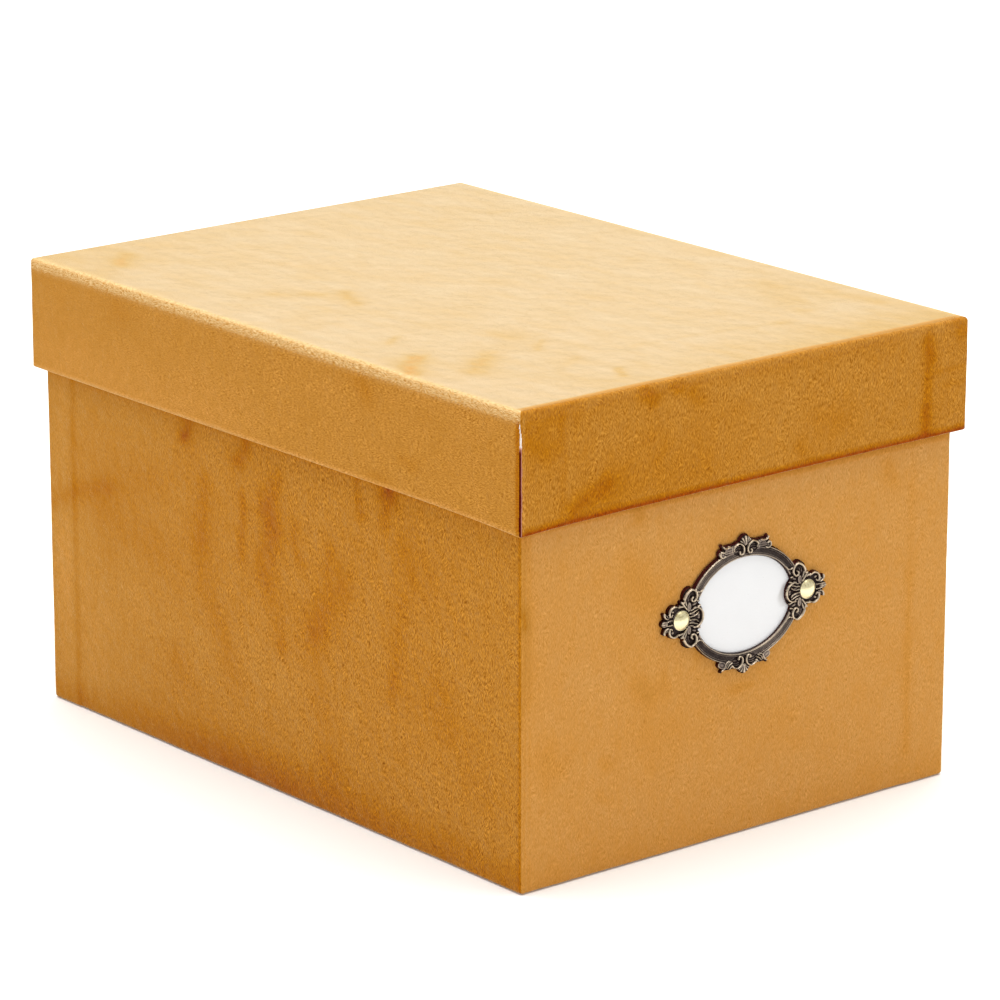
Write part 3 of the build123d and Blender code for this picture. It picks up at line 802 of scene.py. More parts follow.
@dataclass
class VelvetBase:
    """The base's covering: one strip of velvet round the four walls, turned in at the top and under the foot."""

    half_width: float = 86.8
    half_depth: float = 121.8
    bottom: float = 0.3
    top: float = 147.85
    pile: float = 0.5
    wall: float = 3.0
    turn_in: float = 15.0
    turn_under: float = 15.0
    corner_radius: float = 1.15
    edge_radius: float = 1.2
    foot_radius: float = 1.1
    row_step: float = 1.9
    tape_ends: tuple[float, ...] = (70.2, -107.4, -70.2, 107.4)
    frame_clear: Pair = (33.0, 21.0)
    ridges: tuple[Pair, ...] = ((1.0, 0.13), (2.8, 0.08))
    ridge_width: float = 0.6
    lap_reach: float = 12.0
    rim_shade: tuple[float, ...] = (110.6, 113.0, 113.6, 118.0)
    low_darkening: tuple[float, float, float] = (5.0, 62.0, 0.3)
    tones: tuple[float, ...] = (0.30, 0.05, 0.06, -0.22)
    liveliness: tuple[float, ...] = (0.57, 1.0, 1.0, 1.42)
    smudges: tuple[Smudge, ...] = (
        *strokes(
            Panel.FRONT,
            (7, -0.07, -80, 108, 0, 110, 80, 108), (5, 0.14, -43, 92, -40.5, 86, -37, 83),
            (1.8, 0.3, -43, 119, -41.4, 109), (2, 0.26, -40.5, 55.5, -37.5, 52),
            (3.6, 0.17, -77, 41, -74, 37), (0.9, 0.2, -32, 58, -30.3, 51.5), (6.5, 0.1, -37, 41, -28, 37),
            (1.1, 0.24, -4, 47, 4, 47.2), (2.4, 0.22, 60, 107.5, 61.5, 102), (1.1, 0.14, -19, 66, -17.6, 60),
            (4, 0.08, 16, 36, 19, 33), (0.9, 0.2, -55.5, 35, -52, 33), (1.1, 0.14, -57, 25, -53, 22),
            (2.6, 0.16, -86, 112, -85, 60), (1.5, 0.32, -86, 88, -85.6, 84),
            (1.2, 0.16, 70.2, 68, 70, 30, 70.3, 12), (1.2, 0.07, 70.2, 112, 70.2, 70),
        ),
        *strokes(
            Panel.RIGHT,
            (3.4, 0.35, 30, 108, 32, 96, 28, 84), (4, 0.3, -40, 70, -34, 58, -38, 44),
            (3, 0.2, 85, 60, 60, 66), (2.2, 0.3, -80, 100, -76, 90), (4.5, 0.16, 10, 30, 18, 24),
            (0.9, 0.2, -107.4, 2, -107.2, 112), (14, -0.14, -115, 52, -60, 40, -20, 20),
            (12, 0.14, 110, 20, 60, 12), (9, -0.1, 0, 96, 60, 106), (2.2, 0.32, 66, 113, 67.2, 106, 65, 99),
            (1.7, 0.28, 79, 113, 77, 105), (2.8, 0.26, 91, 110, 93, 99, 89, 88),
        ),
        *strokes(
            Panel.REAR,
            (4.6, 0.22, -35, 92, -30, 78, -33, 66), (13, -0.13, -80, 30, -30, 20), (9, -0.1, 80, 98, 30, 107),
            (12, 0.13, 60, 14, 82, 30), (2.1, 0.28, -8, 113, -6.2, 104, -9, 98), (1.6, 0.26, 6, 113, 8, 106),
            (4, 0.25, 30, 60, 36, 48), (2, 0.25, 55, 100, 60, 94),
        ),
        *strokes(
            Panel.LEFT,
            (0.9, 0.2, 107.4, 0, 107.2, 40, 107.5, 80, 107.2, 113), (1.6, 0.2, 107, 6, 103, 1),
            (15, -0.19, 112, 52, 98, 30, 96, 8), (9, -0.1, 70, 44, 30, 38, -5, 36),
            (8, -0.09, 116, 106, 66, 108), (7, 0.12, -70, 96, -78, 88),
            (4, -0.12, 114, 5, 114.5, 60, 114, 110), (2.4, 0.3, 119.8, 68, 106.8, 74.5, 97, 78, 88, 80),
            (4, 0.13, 88, 80, 72, 85, 62, 89.5), (4.5, 0.13, 96, 73, 76, 67, 56, 64),
            (2.2, 0.46, 42.6, 119, 43.4, 110, 45, 105.5), (1.1, 0.3, 44.6, 107, 47.4, 106),
            (1.9, 0.44, 14.2, 119, 13.2, 109, 15.6, 105, 18.6, 103.6),
            (3.2, 0.26, 35.4, 93, 35.6, 84, 36.8, 75), (4.4, 0.17, 37.8, 72, 35.8, 61, 28, 46, 19.8, 33),
            (1.5, 0.34, 15.8, 93.5, 14.6, 87, 16.8, 73), (2.8, 0.2, -1, 102, 1.5, 92, -1.5, 86),
            (4.2, 0.34, 3, 92, 0, 86, 1.8, 79, 3.8, 70), (1.6, 0.16, -4, 104, -3, 98),
            (2.2, 0.14, -0.2, 66, -2, 58, -4.2, 49), (1.1, 0.34, -4.3, 50, -4.4, 48),
            (1.3, 0.24, -13.2, 91, -11.4, 84, -16.2, 78), (5.2, 0.27, -36.2, 76, -30, 70, -25, 63, -20.5, 56),
            (3.6, 0.14, -25, 62, -22, 57), (1.8, 0.22, -30.2, 87, -28.6, 80),
            (2.8, 0.75, -60.4, 120, -59, 110.5), (2.4, 0.25, -58, 106, -57, 101),
            (1.4, 0.34, -42.6, 119, -43.8, 108, -46, 100.5), (3, 0.12, -66.2, 93, -70, 87),
            (3.4, 0.18, -65.2, 78, -63, 62, -60.2, 49), (1.8, 0.16, -61, 53, -60, 48),
            (5.5, 0.18, -84, 54, -88, 44), (5, 0.12, -100, 30, -106, 25), (4.2, 0.24, -27, 18, -30, 15),
            (1.5, 0.12, -21, 36, -25, 38, -29, 34, -25, 30, -21, 34), (4, 0.17, 52, 33, 48, 25),
        ),
    )

    def profile(self) -> Rows:
        """The closed section of the cloth, from under the foot, up the wall, over the top and back behind itself."""
        e, f, t, wall, under = self.edge_radius, self.foot_radius, self.pile, self.wall, self.turn_under
        low, high, inner = self.bottom + t, self.top - t, self.wall - t
        hem = high - self.turn_in
        behind = ((wall, hem), (inner, hem), (inner, high), (t, high), (t, low), (under, low), (under, self.bottom))
        return joined_rows(
            line_rows((under, self.bottom), (f, self.bottom), 8, (0.0, -1.0)),
            arc_rows((f, self.bottom + f), f, -90, 0, 6),
            line_rows(
                (0.0, self.bottom + f), (0.0, self.top - e), int((self.top - self.bottom) / self.row_step), (1.0, 0.0)
            ),
            arc_rows((e, self.top - e), e, 0, 90, 6),
            arc_rows((wall - e, self.top - e), e, 90, 180, 6),
            line_rows((wall, self.top - e), (wall, hem), 8, (-1.0, 0.0)),
            *(line_rows(*run) for run in zip(behind, behind[1:], (2, 4, 3, 6, 4, 2))),
        )

    def overlap(self, at: Survey) -> Array:
        """The fine ridges beside the front left corner, where the strip's ends overlap: bells across the seam."""
        z = at.points[..., 2]
        wander = 0.3 * waves(0 * z, z, 14, (31.0, 17.0, 9.0, 5.3))
        ridges = sum(rise * bell(at.seam_at, beyond + wander, self.ridge_width) for beyond, rise in self.ridges)
        return np.where(np.abs(at.seam_at) < self.lap_reach, ridges, 0.0)

    def unevenness(self, at: Survey) -> Array:
        """How far the cloth stands proud of its nominal face, in millimetres, along the surface's direction.

        It is slow waves, a low step where the tape round a corner ends, the overlap's two ridges, and
        nothing under the label frame.
        """
        z, shifted = at.points[..., 2], at.level + 300 * at.panel
        slow = 0.10 * waves(shifted, z, 11, (61.0, 43.0, 29.0, 22.0))
        quick = 0.035 * waves(shifted, z, 12, (9.0, 6.3, 4.7))
        end = np.array(self.tape_ends)[at.panel]
        beyond = (at.level - end) * np.sign(end) + 0.35 * waves(0 * z, z, 13, (60.0, 23.0))
        tape = 0.2 * ease(-0.9, 0.9, beyond)
        reach_x, reach_z = self.frame_clear
        away = ease(0.85, 1.25, np.hypot(at.level / reach_x, (z - FRAME_HEIGHT) / reach_z))
        away = np.where(at.panel == Panel.FRONT, away, 1.0)
        return (slow + quick + tape + self.overlap(at) + 0.05) * away - 0.04

    def nap(self, at: Survey) -> Array:
        """How light or dark the pile looks, about -1 to 1: each panel's lay, darker at the seam and low down, with a
        painted shadow by the lid's rim.
        """
        z, left = at.points[..., 2], at.panel == Panel.LEFT
        seam = 0.22 * bell(at.seam_at, -0.9, 0.7) + 0.9 * self.overlap(at)
        # Darker towards the foot, most on the left side, and over a broad patch low on the middle of the left side.
        foot_darkening = np.where(left, 0.26, 0.08) * (1 - ease(1.0, 15.0, z))
        place, width, depth = self.low_darkening
        low_darkening = np.where(left, depth * bell(at.level, place, width) * (1 - ease(2.0, 22.0, z)), 0.0)
        # Painted shadow in a band at the height of the lid's rim, strongest on the front.
        low, dark, light, high = self.rim_shade
        shadow = np.where(at.panel == Panel.FRONT, 0.5, 0.14) * ease(low, dark, z) * (1 - ease(light, high, z))
        return np.array(self.tones)[at.panel] - seam - foot_darkening - low_darkening - shadow

    def build(self, finish: bpy.types.Material) -> bpy.types.Object:
        inset, height, out, up = self.profile()
        at = Survey.of(Ring(self.half_width, self.half_depth, self.corner_radius), inset, height)
        nap = self.nap(at)
        brushed = sum(smudge.shade(at.panel, at.level, at.points[..., 2]) for smudge in self.smudges)
        outer = ((np.abs(out) + np.abs(up)) > 0)[:, None] & (height[:, None] > self.bottom + 0.1)
        at.push(np.where(outer, self.unevenness(at), 0.0), out, up)
        run = running_length(inset, height)
        cloth = np.stack(np.broadcast_arrays(at.walked[None, :], run[:, None]), axis=-1)
        cover = Skin("base_velvet_cover")
        cover.add_grid(at.points, cloth, nap=nap, smudge=brushed, pile=at.lively(self.liveliness), fray=0 * nap)
        obj = cover.build()
        obj.data.materials.append(finish)
        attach(obj, Body.BASE.value)
        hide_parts("base_velvet_wrap")
        report(obj, Body.BASE)
        return obj


@dataclass
class VelvetLid:
    """The lid's covering: one sheet over the top and down the four sides, cut at the corners and turned in."""

    half_width: float = 90.0
    half_depth: float = 125.0
    bottom: float = 113.4
    top: float = 150.0
    pile: float = 0.5
    wall: float = 2.5
    turn_in: float = 12.0
    radius: float = 1.3
    corner_radius: float = 0.8
    rim_radius: float = 0.55
    row_step: float = 1.3
    slit_half: float = 0.42
    slit_depth: float = 0.3
    slit_foot: Pair = (0.1, 0.8)
    slit_head: Pair = (3.2, 2.5)
    slit_lean: float = 0.42
    curl: Pair = (12.5, 9.5)
    # Below the lid's top, the band where the painted highlight's pale streaks lie.
    highlight_band: Pair = (4.4, 2.0)
    tape_end: float = 73.4
    # Tones by panel for the lay of the pile; the top's high tone is also painted light from the lamp above.
    tones: tuple[float, ...] = (-0.18, 0.05, 0.0, -0.08, 0.74)
    liveliness: tuple[float, ...] = (1.3, 1.0, 1.0, 0.95, 0.13)
    top_share: float = 0.48
    front_shade: Pair = (34.0, 0.2)
    rear_shade: tuple[float, ...] = (-92.0, 128.0, 40.0, 0.14)
    brow_shade: tuple[float, ...] = (-0.6, 3.2, 0.9)
    droop: float = 1.35
    droop_reach: Pair = (30.0, 26.0)
    lift: float = 0.3
    smudges: tuple[Smudge, ...] = (
        *strokes(
            Panel.FRONT,
            (4, 0.17, -84, 147, -70, 148), (7, 0.14, -55, 120, -20, 121),
            (9, -0.07, -30, 146, 5, 136, 12, 122), (3.4, 0.2, -88, 140, -80, 136),
            (0.9, 0.18, -74, 147, -73.6, 132, -74, 116), (1, -0.1, -72.2, 147, -71.9, 116),
            (2.2, 0.45, -70, 117.5, -64, 119.8, -57, 122.5), (1.8, 0.42, -42, 148, -39, 145),
            (1.3, 0.38, -31, 148.2, -29, 147), (1.8, 0.25, -25, 145, -20, 141.5),
            (3.5, 0.12, -11, 138, -4, 136), (1.6, 0.12, -42, 133, -38, 135, -34, 131, -38, 127),
            (2, 0.2, 19.5, 120.5, 22.5, 117.5), (3, 0.12, 30, 128, 38, 126),
            (1.4, 0.4, 73, 146, 73.2, 132, 72.8, 116), (1.6, 0.28, 74, 143, 75, 139),
            (1.7, 0.32, 72.5, 123, 73, 116), (2.4, 0.32, 85, 148, 88, 146), (0.7, 0.18, 76, 134.4, 88, 134.2),
            (0.7, 0.16, 78, 130, 89, 129.8), (1, 0.14, -60, 147.4, 0, 147.2, 60, 147.4),
        ),
        *strokes(
            Panel.RIGHT,
            (3, 0.2, 50, 140, 42, 136), (2, 0.25, -60, 125, -52, 122), (7, -0.12, -100, 119, -40, 117),
            (8, 0.12, 20, 146, 70, 141),
        ),
        *strokes(
            Panel.REAR,
            (7, -0.1, -60, 121, 0, 119), (5.5, 0.14, 30, 146, 62, 141), (2.4, 0.25, -30, 138, -24, 134),
            (2.2, 0.2, 40, 124, 48, 121),
        ),
        *strokes(
            Panel.LEFT,
            (7, -0.14, 116, 119, 70, 117, 15, 117), (3, 0.24, -50, 143, -53, 141),
            (2, 0.14, -70, 124, -75, 123.5), (4, 0.12, 78, 143, 74, 141), (1.5, 0.14, -56, 116.5, -64, 115.5),
        ),
        *strokes(
            Panel.TOP,
            (3.4, 0.62, -87, -70, -80, -62, -73, -56), (3.2, 0.42, -71, -81, -62, -73, -53, -66),
            (3.6, 0.18, -38, -49, -36, -55), (1.2, 0.36, -70, -38, -63, -33),
            (2, 0.45, -40, 23, -43.5, 16, -46, 8), (2.4, 0.26, -60, 35, -54, 29, -48, 25),
            (3, 0.36, -64, 108, -70, 102, -74, 97), (1.3, 0.45, -35, -104, -37.5, -108, -40, -112),
            (1.3, 0.14, -36, -87, -50, -95, -52, -108, -46, -115), (1.2, 0.3, -32, -65, -37, -69, -40, -73),
            (6, 0.26, 70, -57, 66, -64, 60, -77), (4, 0.22, 78, -75, 80, -93),
            (1.8, 0.28, 40, -94, 41.5, -95), (1, 0.14, -14, -87, 10, -89, 40, -94),
            (1.6, 0.24, 56, -87, 58, -88), (4, 0.16, 60, -3, 62, -1), (1.8, 0.16, 68, 81, 74, 80),
            (3.5, 0.14, -78, 5, -72, 4),
        ),
    )

    def profile(self) -> Rows:
        """The section of the cloth from the edge of the flat top, down the side, in under the rim and back up."""
        r, m, t, wall = self.radius, self.rim_radius, self.pile, self.wall
        low, high, inner = self.bottom + t, self.top - t, self.wall - t
        edge = low + self.turn_in
        behind = ((wall, edge), (inner, edge), (inner, low), (t, low), (t, high), (r, high))
        return joined_rows(
            arc_rows((r, self.top - r), r, 90, 0, 8),
            line_rows(
                (0.0, self.top - r), (0.0, self.bottom + m), int((self.top - self.bottom) / self.row_step), (1.0, 0.0)
            ),
            arc_rows((m, self.bottom + m), m, 0, -90, 6),
            arc_rows((wall - m, self.bottom + m), m, -90, -180, 6),
            line_rows((wall, self.bottom + m), (wall, edge), 7, (-1.0, 0.0)),
            *(line_rows(*run) for run in zip(behind, behind[1:], (2, 4, 3, 5, 2))),
        )

    def slit(self, at: Survey) -> tuple[Array, Array]:
        """The open seam at the front left and rear right corners.

        Args:
            at: The survey of the sides.

        Returns:
            Depth into the seam, 1 in its middle and 0 at its sides, and the signed distance from its middle.
        """
        z = at.points[..., 2]
        lean = self.slit_lean * ease(self.top - 7.0, self.top - 3.0, z)
        across = at.seam_at - 0.07 * waves(0 * z, z, 31, (26.0, 15.0, 8.0)) + lean
        (closed, opened), (opens, closes) = self.slit_foot, self.slit_head
        span = ease(self.bottom + closed, self.bottom + opened, z) * (1 - ease(self.top - opens, self.top - closes, z))
        half = self.slit_half * (1 - 0.35 * ease(self.top - 13.0, self.top - 8.0, z))
        inside = 1 - ease(0.7 * half, 1.5 * half, np.abs(across))
        return inside * span * (np.abs(at.seam_at) < 5), across

    def sag(self, at: Survey) -> Array:
        """How far the rim hangs below its nominal height.

        It falls off from the front left corner as e to the minus distance over reach, and the rim
        lifts a little at the front right.
        """
        x, y = at.points[..., 0] + self.half_width, at.points[..., 1] + self.half_depth
        fall = np.exp(-np.hypot(x / self.droop_reach[0], y / self.droop_reach[1]))
        return self.droop * fall - self.lift * ease(60.0, 170.0, x) * (1 - ease(0.0, 65.0, y))

    def unevenness(self, at: Survey) -> Array:
        """How far the cloth stands proud of its nominal face: slow waves and a low step where the corner tape ends."""
        z, shifted = at.points[..., 2], at.level + 300 * at.panel
        slow = 0.10 * waves(shifted, z, 21, (57.0, 41.0, 27.0, 19.0))
        quick = 0.04 * waves(shifted, z, 22, (8.3, 6.1, 4.4))
        end = np.where(at.endwise, self.tape_end, self.tape_end + self.half_depth - self.half_width)
        beyond = np.abs(at.level) - end + 0.4 * waves(0 * z, z, 23, (40.0, 17.0))
        return slow + quick + 0.2 * ease(-0.9, 0.9, beyond) * np.where(at.endwise, 1.0, 0.4)

    def nap(self, at: Survey) -> Array:
        """How light or dark the pile looks on the sides, about -1 to 1: its lay, with painted light and shade along the
        top and the hem.
        """
        z, front, left = at.points[..., 2], at.panel == Panel.FRONT, at.panel == Panel.LEFT
        # Painted highlight along the top of the rear and long sides, where they start to roll over.
        crown = np.where(front, 0.0, np.where(at.endwise, 0.22, 0.15)) * ease(self.top - 2.0, self.top - 0.9, z)
        # Painted shade along the front's hem and a painted highlight along the left's hem, just above the rim's lower
        # edge.
        hem = 1 - ease(self.bottom + 0.7, self.bottom + np.where(front, 2.5, 1.9), z)
        hem = hem * np.where(front, -0.95, np.where(left, 0.38, 0.0))
        seam = 0.55 * (bell(at.seam_at, -1.1, 0.85) - 0.4 * bell(at.seam_at, 0.9, 0.45)) * (z < self.top - 2)
        value = np.array(self.tones)[at.panel] + crown + hem - seam
        # On the long sides the roll at the top takes the flat top's pale tone, which is its lay and painted light from
        # above.
        over = np.where(at.endwise, 0.0, 0.82 * ease(self.top - 1.2, self.top - 0.15, z))
        return value + over * (self.tones[Panel.TOP] - value)

    def build(self, finish: bpy.types.Material, raw_edge: bpy.types.Material) -> bpy.types.Object:
        """Args:
            finish: The velvet.
            raw_edge: The cut edge inside the open seam.

        Returns:
            The piece.
        """
        inset, height, out, up = self.profile()
        ring = Ring(self.half_width, self.half_depth, self.corner_radius, step=2.0, edge_step=0.26, arc_steps=13)
        at = Survey.of(ring, inset, height)
        z, nap = at.points[..., 2].copy(), self.nap(at)
        brushed = sum(smudge.shade(at.panel, at.level, z) for smudge in self.smudges)
        outer = (np.arange(len(inset)) <= np.argmin(height))[:, None]
        skin = ((np.abs(out) + np.abs(up)) > 0)[:, None]
        fade = ease(0.0, 1.0, np.arange(len(inset)) / 8)[:, None] * (z > self.bottom + 0.3)
        depth, across = self.slit(at)
        depth = np.where(outer, depth, 0.0)
        lift = np.where(skin, self.unevenness(at) * np.where(outer, 1.0, 0.25), 0.0) * fade
        at.push(lift - self.slit_depth * depth, out, up)
        at.points[..., 2] -= self.sag(at) * (1 - ease(self.bottom + 1.0, self.bottom + 12.0, z))
        # The backing shows white at the top of the slit, and pinkish along its left lip below; elsewhere the slit stays
        # dark, dyed pile roots with a painted shadow.
        white = 0.04 + 0.96 * ease(self.top - self.curl[0], self.top - self.curl[1], z)
        pink = 0.4 * ((across > 0.24) & (z < self.top - 9))
        seam = np.where(depth > 0.2, np.maximum(white, pink), 0.0)
        # Painted highlight: pale streaks near the top of the sides, stronger on the long sides.
        fray = np.where(at.endwise, 0.05, 0.85) * ease(self.top - self.highlight_band[0], self.top - self.highlight_band[1], z) * outer
        away = np.where(at.endwise, self.half_depth, self.half_width) - self.radius
        away = (away + running_length(inset, height)[:, None]) * np.where(
            np.isin(at.panel, (Panel.FRONT, Panel.LEFT)), -1.0, 1.0
        )
        x, y = at.points[..., 0], at.points[..., 1]
        cloth = np.stack([np.where(at.endwise, x, away), np.where(at.endwise, away, y)], -1)
        cover = Skin("lid_velvet_cover")
        lively = at.lively(self.liveliness)
        cover.add_grid(at.points, cloth, nap=nap, smudge=brushed, pile=lively, fray=fray, seam=seam)
        self.add_top(cover, ring)
        obj = cover.build()
        obj.data.materials.append(finish)
        obj.data.materials.append(raw_edge)
        mark_faces(obj.data, "seam", 0.02, 1)
        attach(obj, Body.LID.value)
        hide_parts("lid_velvet_wrap")
        report(obj, Body.LID)
        return obj

    def add_top(self, cover: Skin, ring: Ring) -> None:
        """Adds the flat top, on the same stations as the sides, and the cloth's inner face as a fan from its middle.

        Args:
            cover: The skin that takes them.
            ring: The outline that the sides were carried round.
        """
        width, depth = self.half_width - self.radius, self.half_depth - self.radius
        room_x, room_y = self.half_width - ring.radius, self.half_depth - ring.radius
        columns, rows = ring.stations(room_x) * width / room_x, ring.stations(room_y)[::-1] * depth / room_y
        x, y = np.meshgrid(columns, rows, indexing="xy")
        rim = np.minimum(self.half_width - np.abs(x), self.half_depth - np.abs(y)) - self.radius
        rise = 0.13 * waves(x, y, 24, (83.0, 55.0, 37.0, 24.0)) + 0.03 * waves(x, y, 25, (9.1, 6.7))
        tops = np.full(x.shape, int(Panel.TOP))
        brushed = self.top_share * sum(smudge.shade(tops, x, y) for smudge in self.smudges)
        tone = self.tones[Panel.TOP] + 0.055 * waves(x, y, 26, (71.0, 47.0, 31.0, 21.0, 14.0, 9.0))
        # It is darker towards the front right and in the rear left corner.
        reach, shade = self.front_shade
        tone = tone - shade * (1 - ease(0.0, reach, y + self.half_depth)) * (0.45 + 0.55 * x / self.half_width)
        corner_x, corner_y, reach, shade = self.rear_shade
        tone = tone - shade * bell(x, corner_x, reach) * bell(y, corner_y, reach)
        # Painted shade: the top's pale tone ends just before the front roll, darkening as a rounder edge turning from
        # the light would.
        low, high, shade = self.brow_shade
        tone = tone - shade * (1 - ease(low, high, y + self.half_depth - self.radius))
        # Painted highlight: pale streaks along the top's left and right edges.
        fray = 0.45 * (1 - ease(0.0, 2.5, self.half_width - self.radius - np.abs(x)))
        lively = np.full(x.shape, self.liveliness[Panel.TOP])
        points = np.stack([x, y, self.top + rise * ease(0.0, 5.0, rim)], -1)
        cover.add_grid(points, points[..., :2], nap=tone, smudge=brushed, pile=lively, fray=fray, seam=0 * x)
        loop = np.concatenate([points[-1], points[-2::-1, -1], points[0, -2::-1], points[1:, 0]])
        fan = np.stack([loop, 0 * loop])
        fan[..., 2] = self.top - self.pile
        flat = 0 * fan[..., 0]
        cover.add_grid(fan, fan[..., :2], nap=flat, smudge=flat, pile=flat, fray=flat, seam=flat)


def oval_gap(u: Array, v: Array, reach_u: float, reach_v: float) -> Array:
    """Distance outside an oval round the origin, less than 0 inside: exact on the outline and close to it nearby.

    With f the length of (u / a, v / b) and g that of (u / a², v / b²), it is f (f - 1) / g.
    """
    f = np.hypot(u / reach_u, v / reach_v)
    g = np.hypot(u / reach_u**2, v / reach_v**2)
    return f * (f - 1) / np.maximum(g, 1e-9)


def dome(share: Array, foot: float, rise: float) -> Array:
    """A rounded rise: the foot plus the rise times the root of 1 - share², and nothing beyond a share of 1."""
    return np.where(share < 1, foot + rise * np.sqrt(np.clip(1 - share**2, 0, 1)), 0.0)


@dataclass(frozen=True)
class Rib:
    """A raised rounded rib of the casting, along a smooth line, tapering from its first width to its last."""

    points: tuple[Pair, ...]
    width: float
    end_width: float
    foot: float
    rise: float

    def nearest(self, u: Array, v: Array) -> tuple[Array, Array]:
        """Distance from the line over the local half width, and distance less the local half width."""
        away, place = near_line(smooth_line(self.points), u, v)
        half = self.width + (self.end_width - self.width) * place
        return away / half, away - half

    def height(self, u: Array, v: Array) -> Array:
        """The rib's surface."""
        return dome(self.nearest(u, v)[0], self.foot, self.rise)


@dataclass(frozen=True)
class Bead:
    """A raised oval bead of the casting, turned by some degrees, with a rim round it if rim is over 0."""

    centre: Pair
    reach: Pair
    foot: float
    rise: float
    turn: float = 0.0
    rim: float = 0.0

    def height(self, u: Array, v: Array) -> Array:
        """The bead's surface."""
        angle = np.radians(self.turn)
        du, dv = u - self.centre[0], v - self.centre[1]
        along = du * np.cos(angle) + dv * np.sin(angle)
        across = dv * np.cos(angle) - du * np.sin(angle)
        share = np.hypot(along / self.reach[0], across / self.reach[1])
        surface = dome(share, self.foot, self.rise)
        if self.rim:
            edge = np.abs(share - 1.12) * min(self.reach) / self.rim
            surface = np.maximum(surface, dome(edge, self.foot, self.rise))
        return surface


def ribs(*rows: tuple[float, ...]) -> tuple[Rib, ...]:
    """Ribs, from rows of width, end width, foot, rise and the coordinates that the rib runs through."""
    return tuple(Rib(pairs(row[4:]), *row[:4]) for row in rows)


def beads(*rows: tuple[float, ...]) -> tuple[Bead, ...]:
    """Beads, from rows of the centre, the reaches, foot, rise, and turn and rim where there are any."""
    return tuple(Bead(row[:2], row[2:4], *row[4:]) for row in rows)


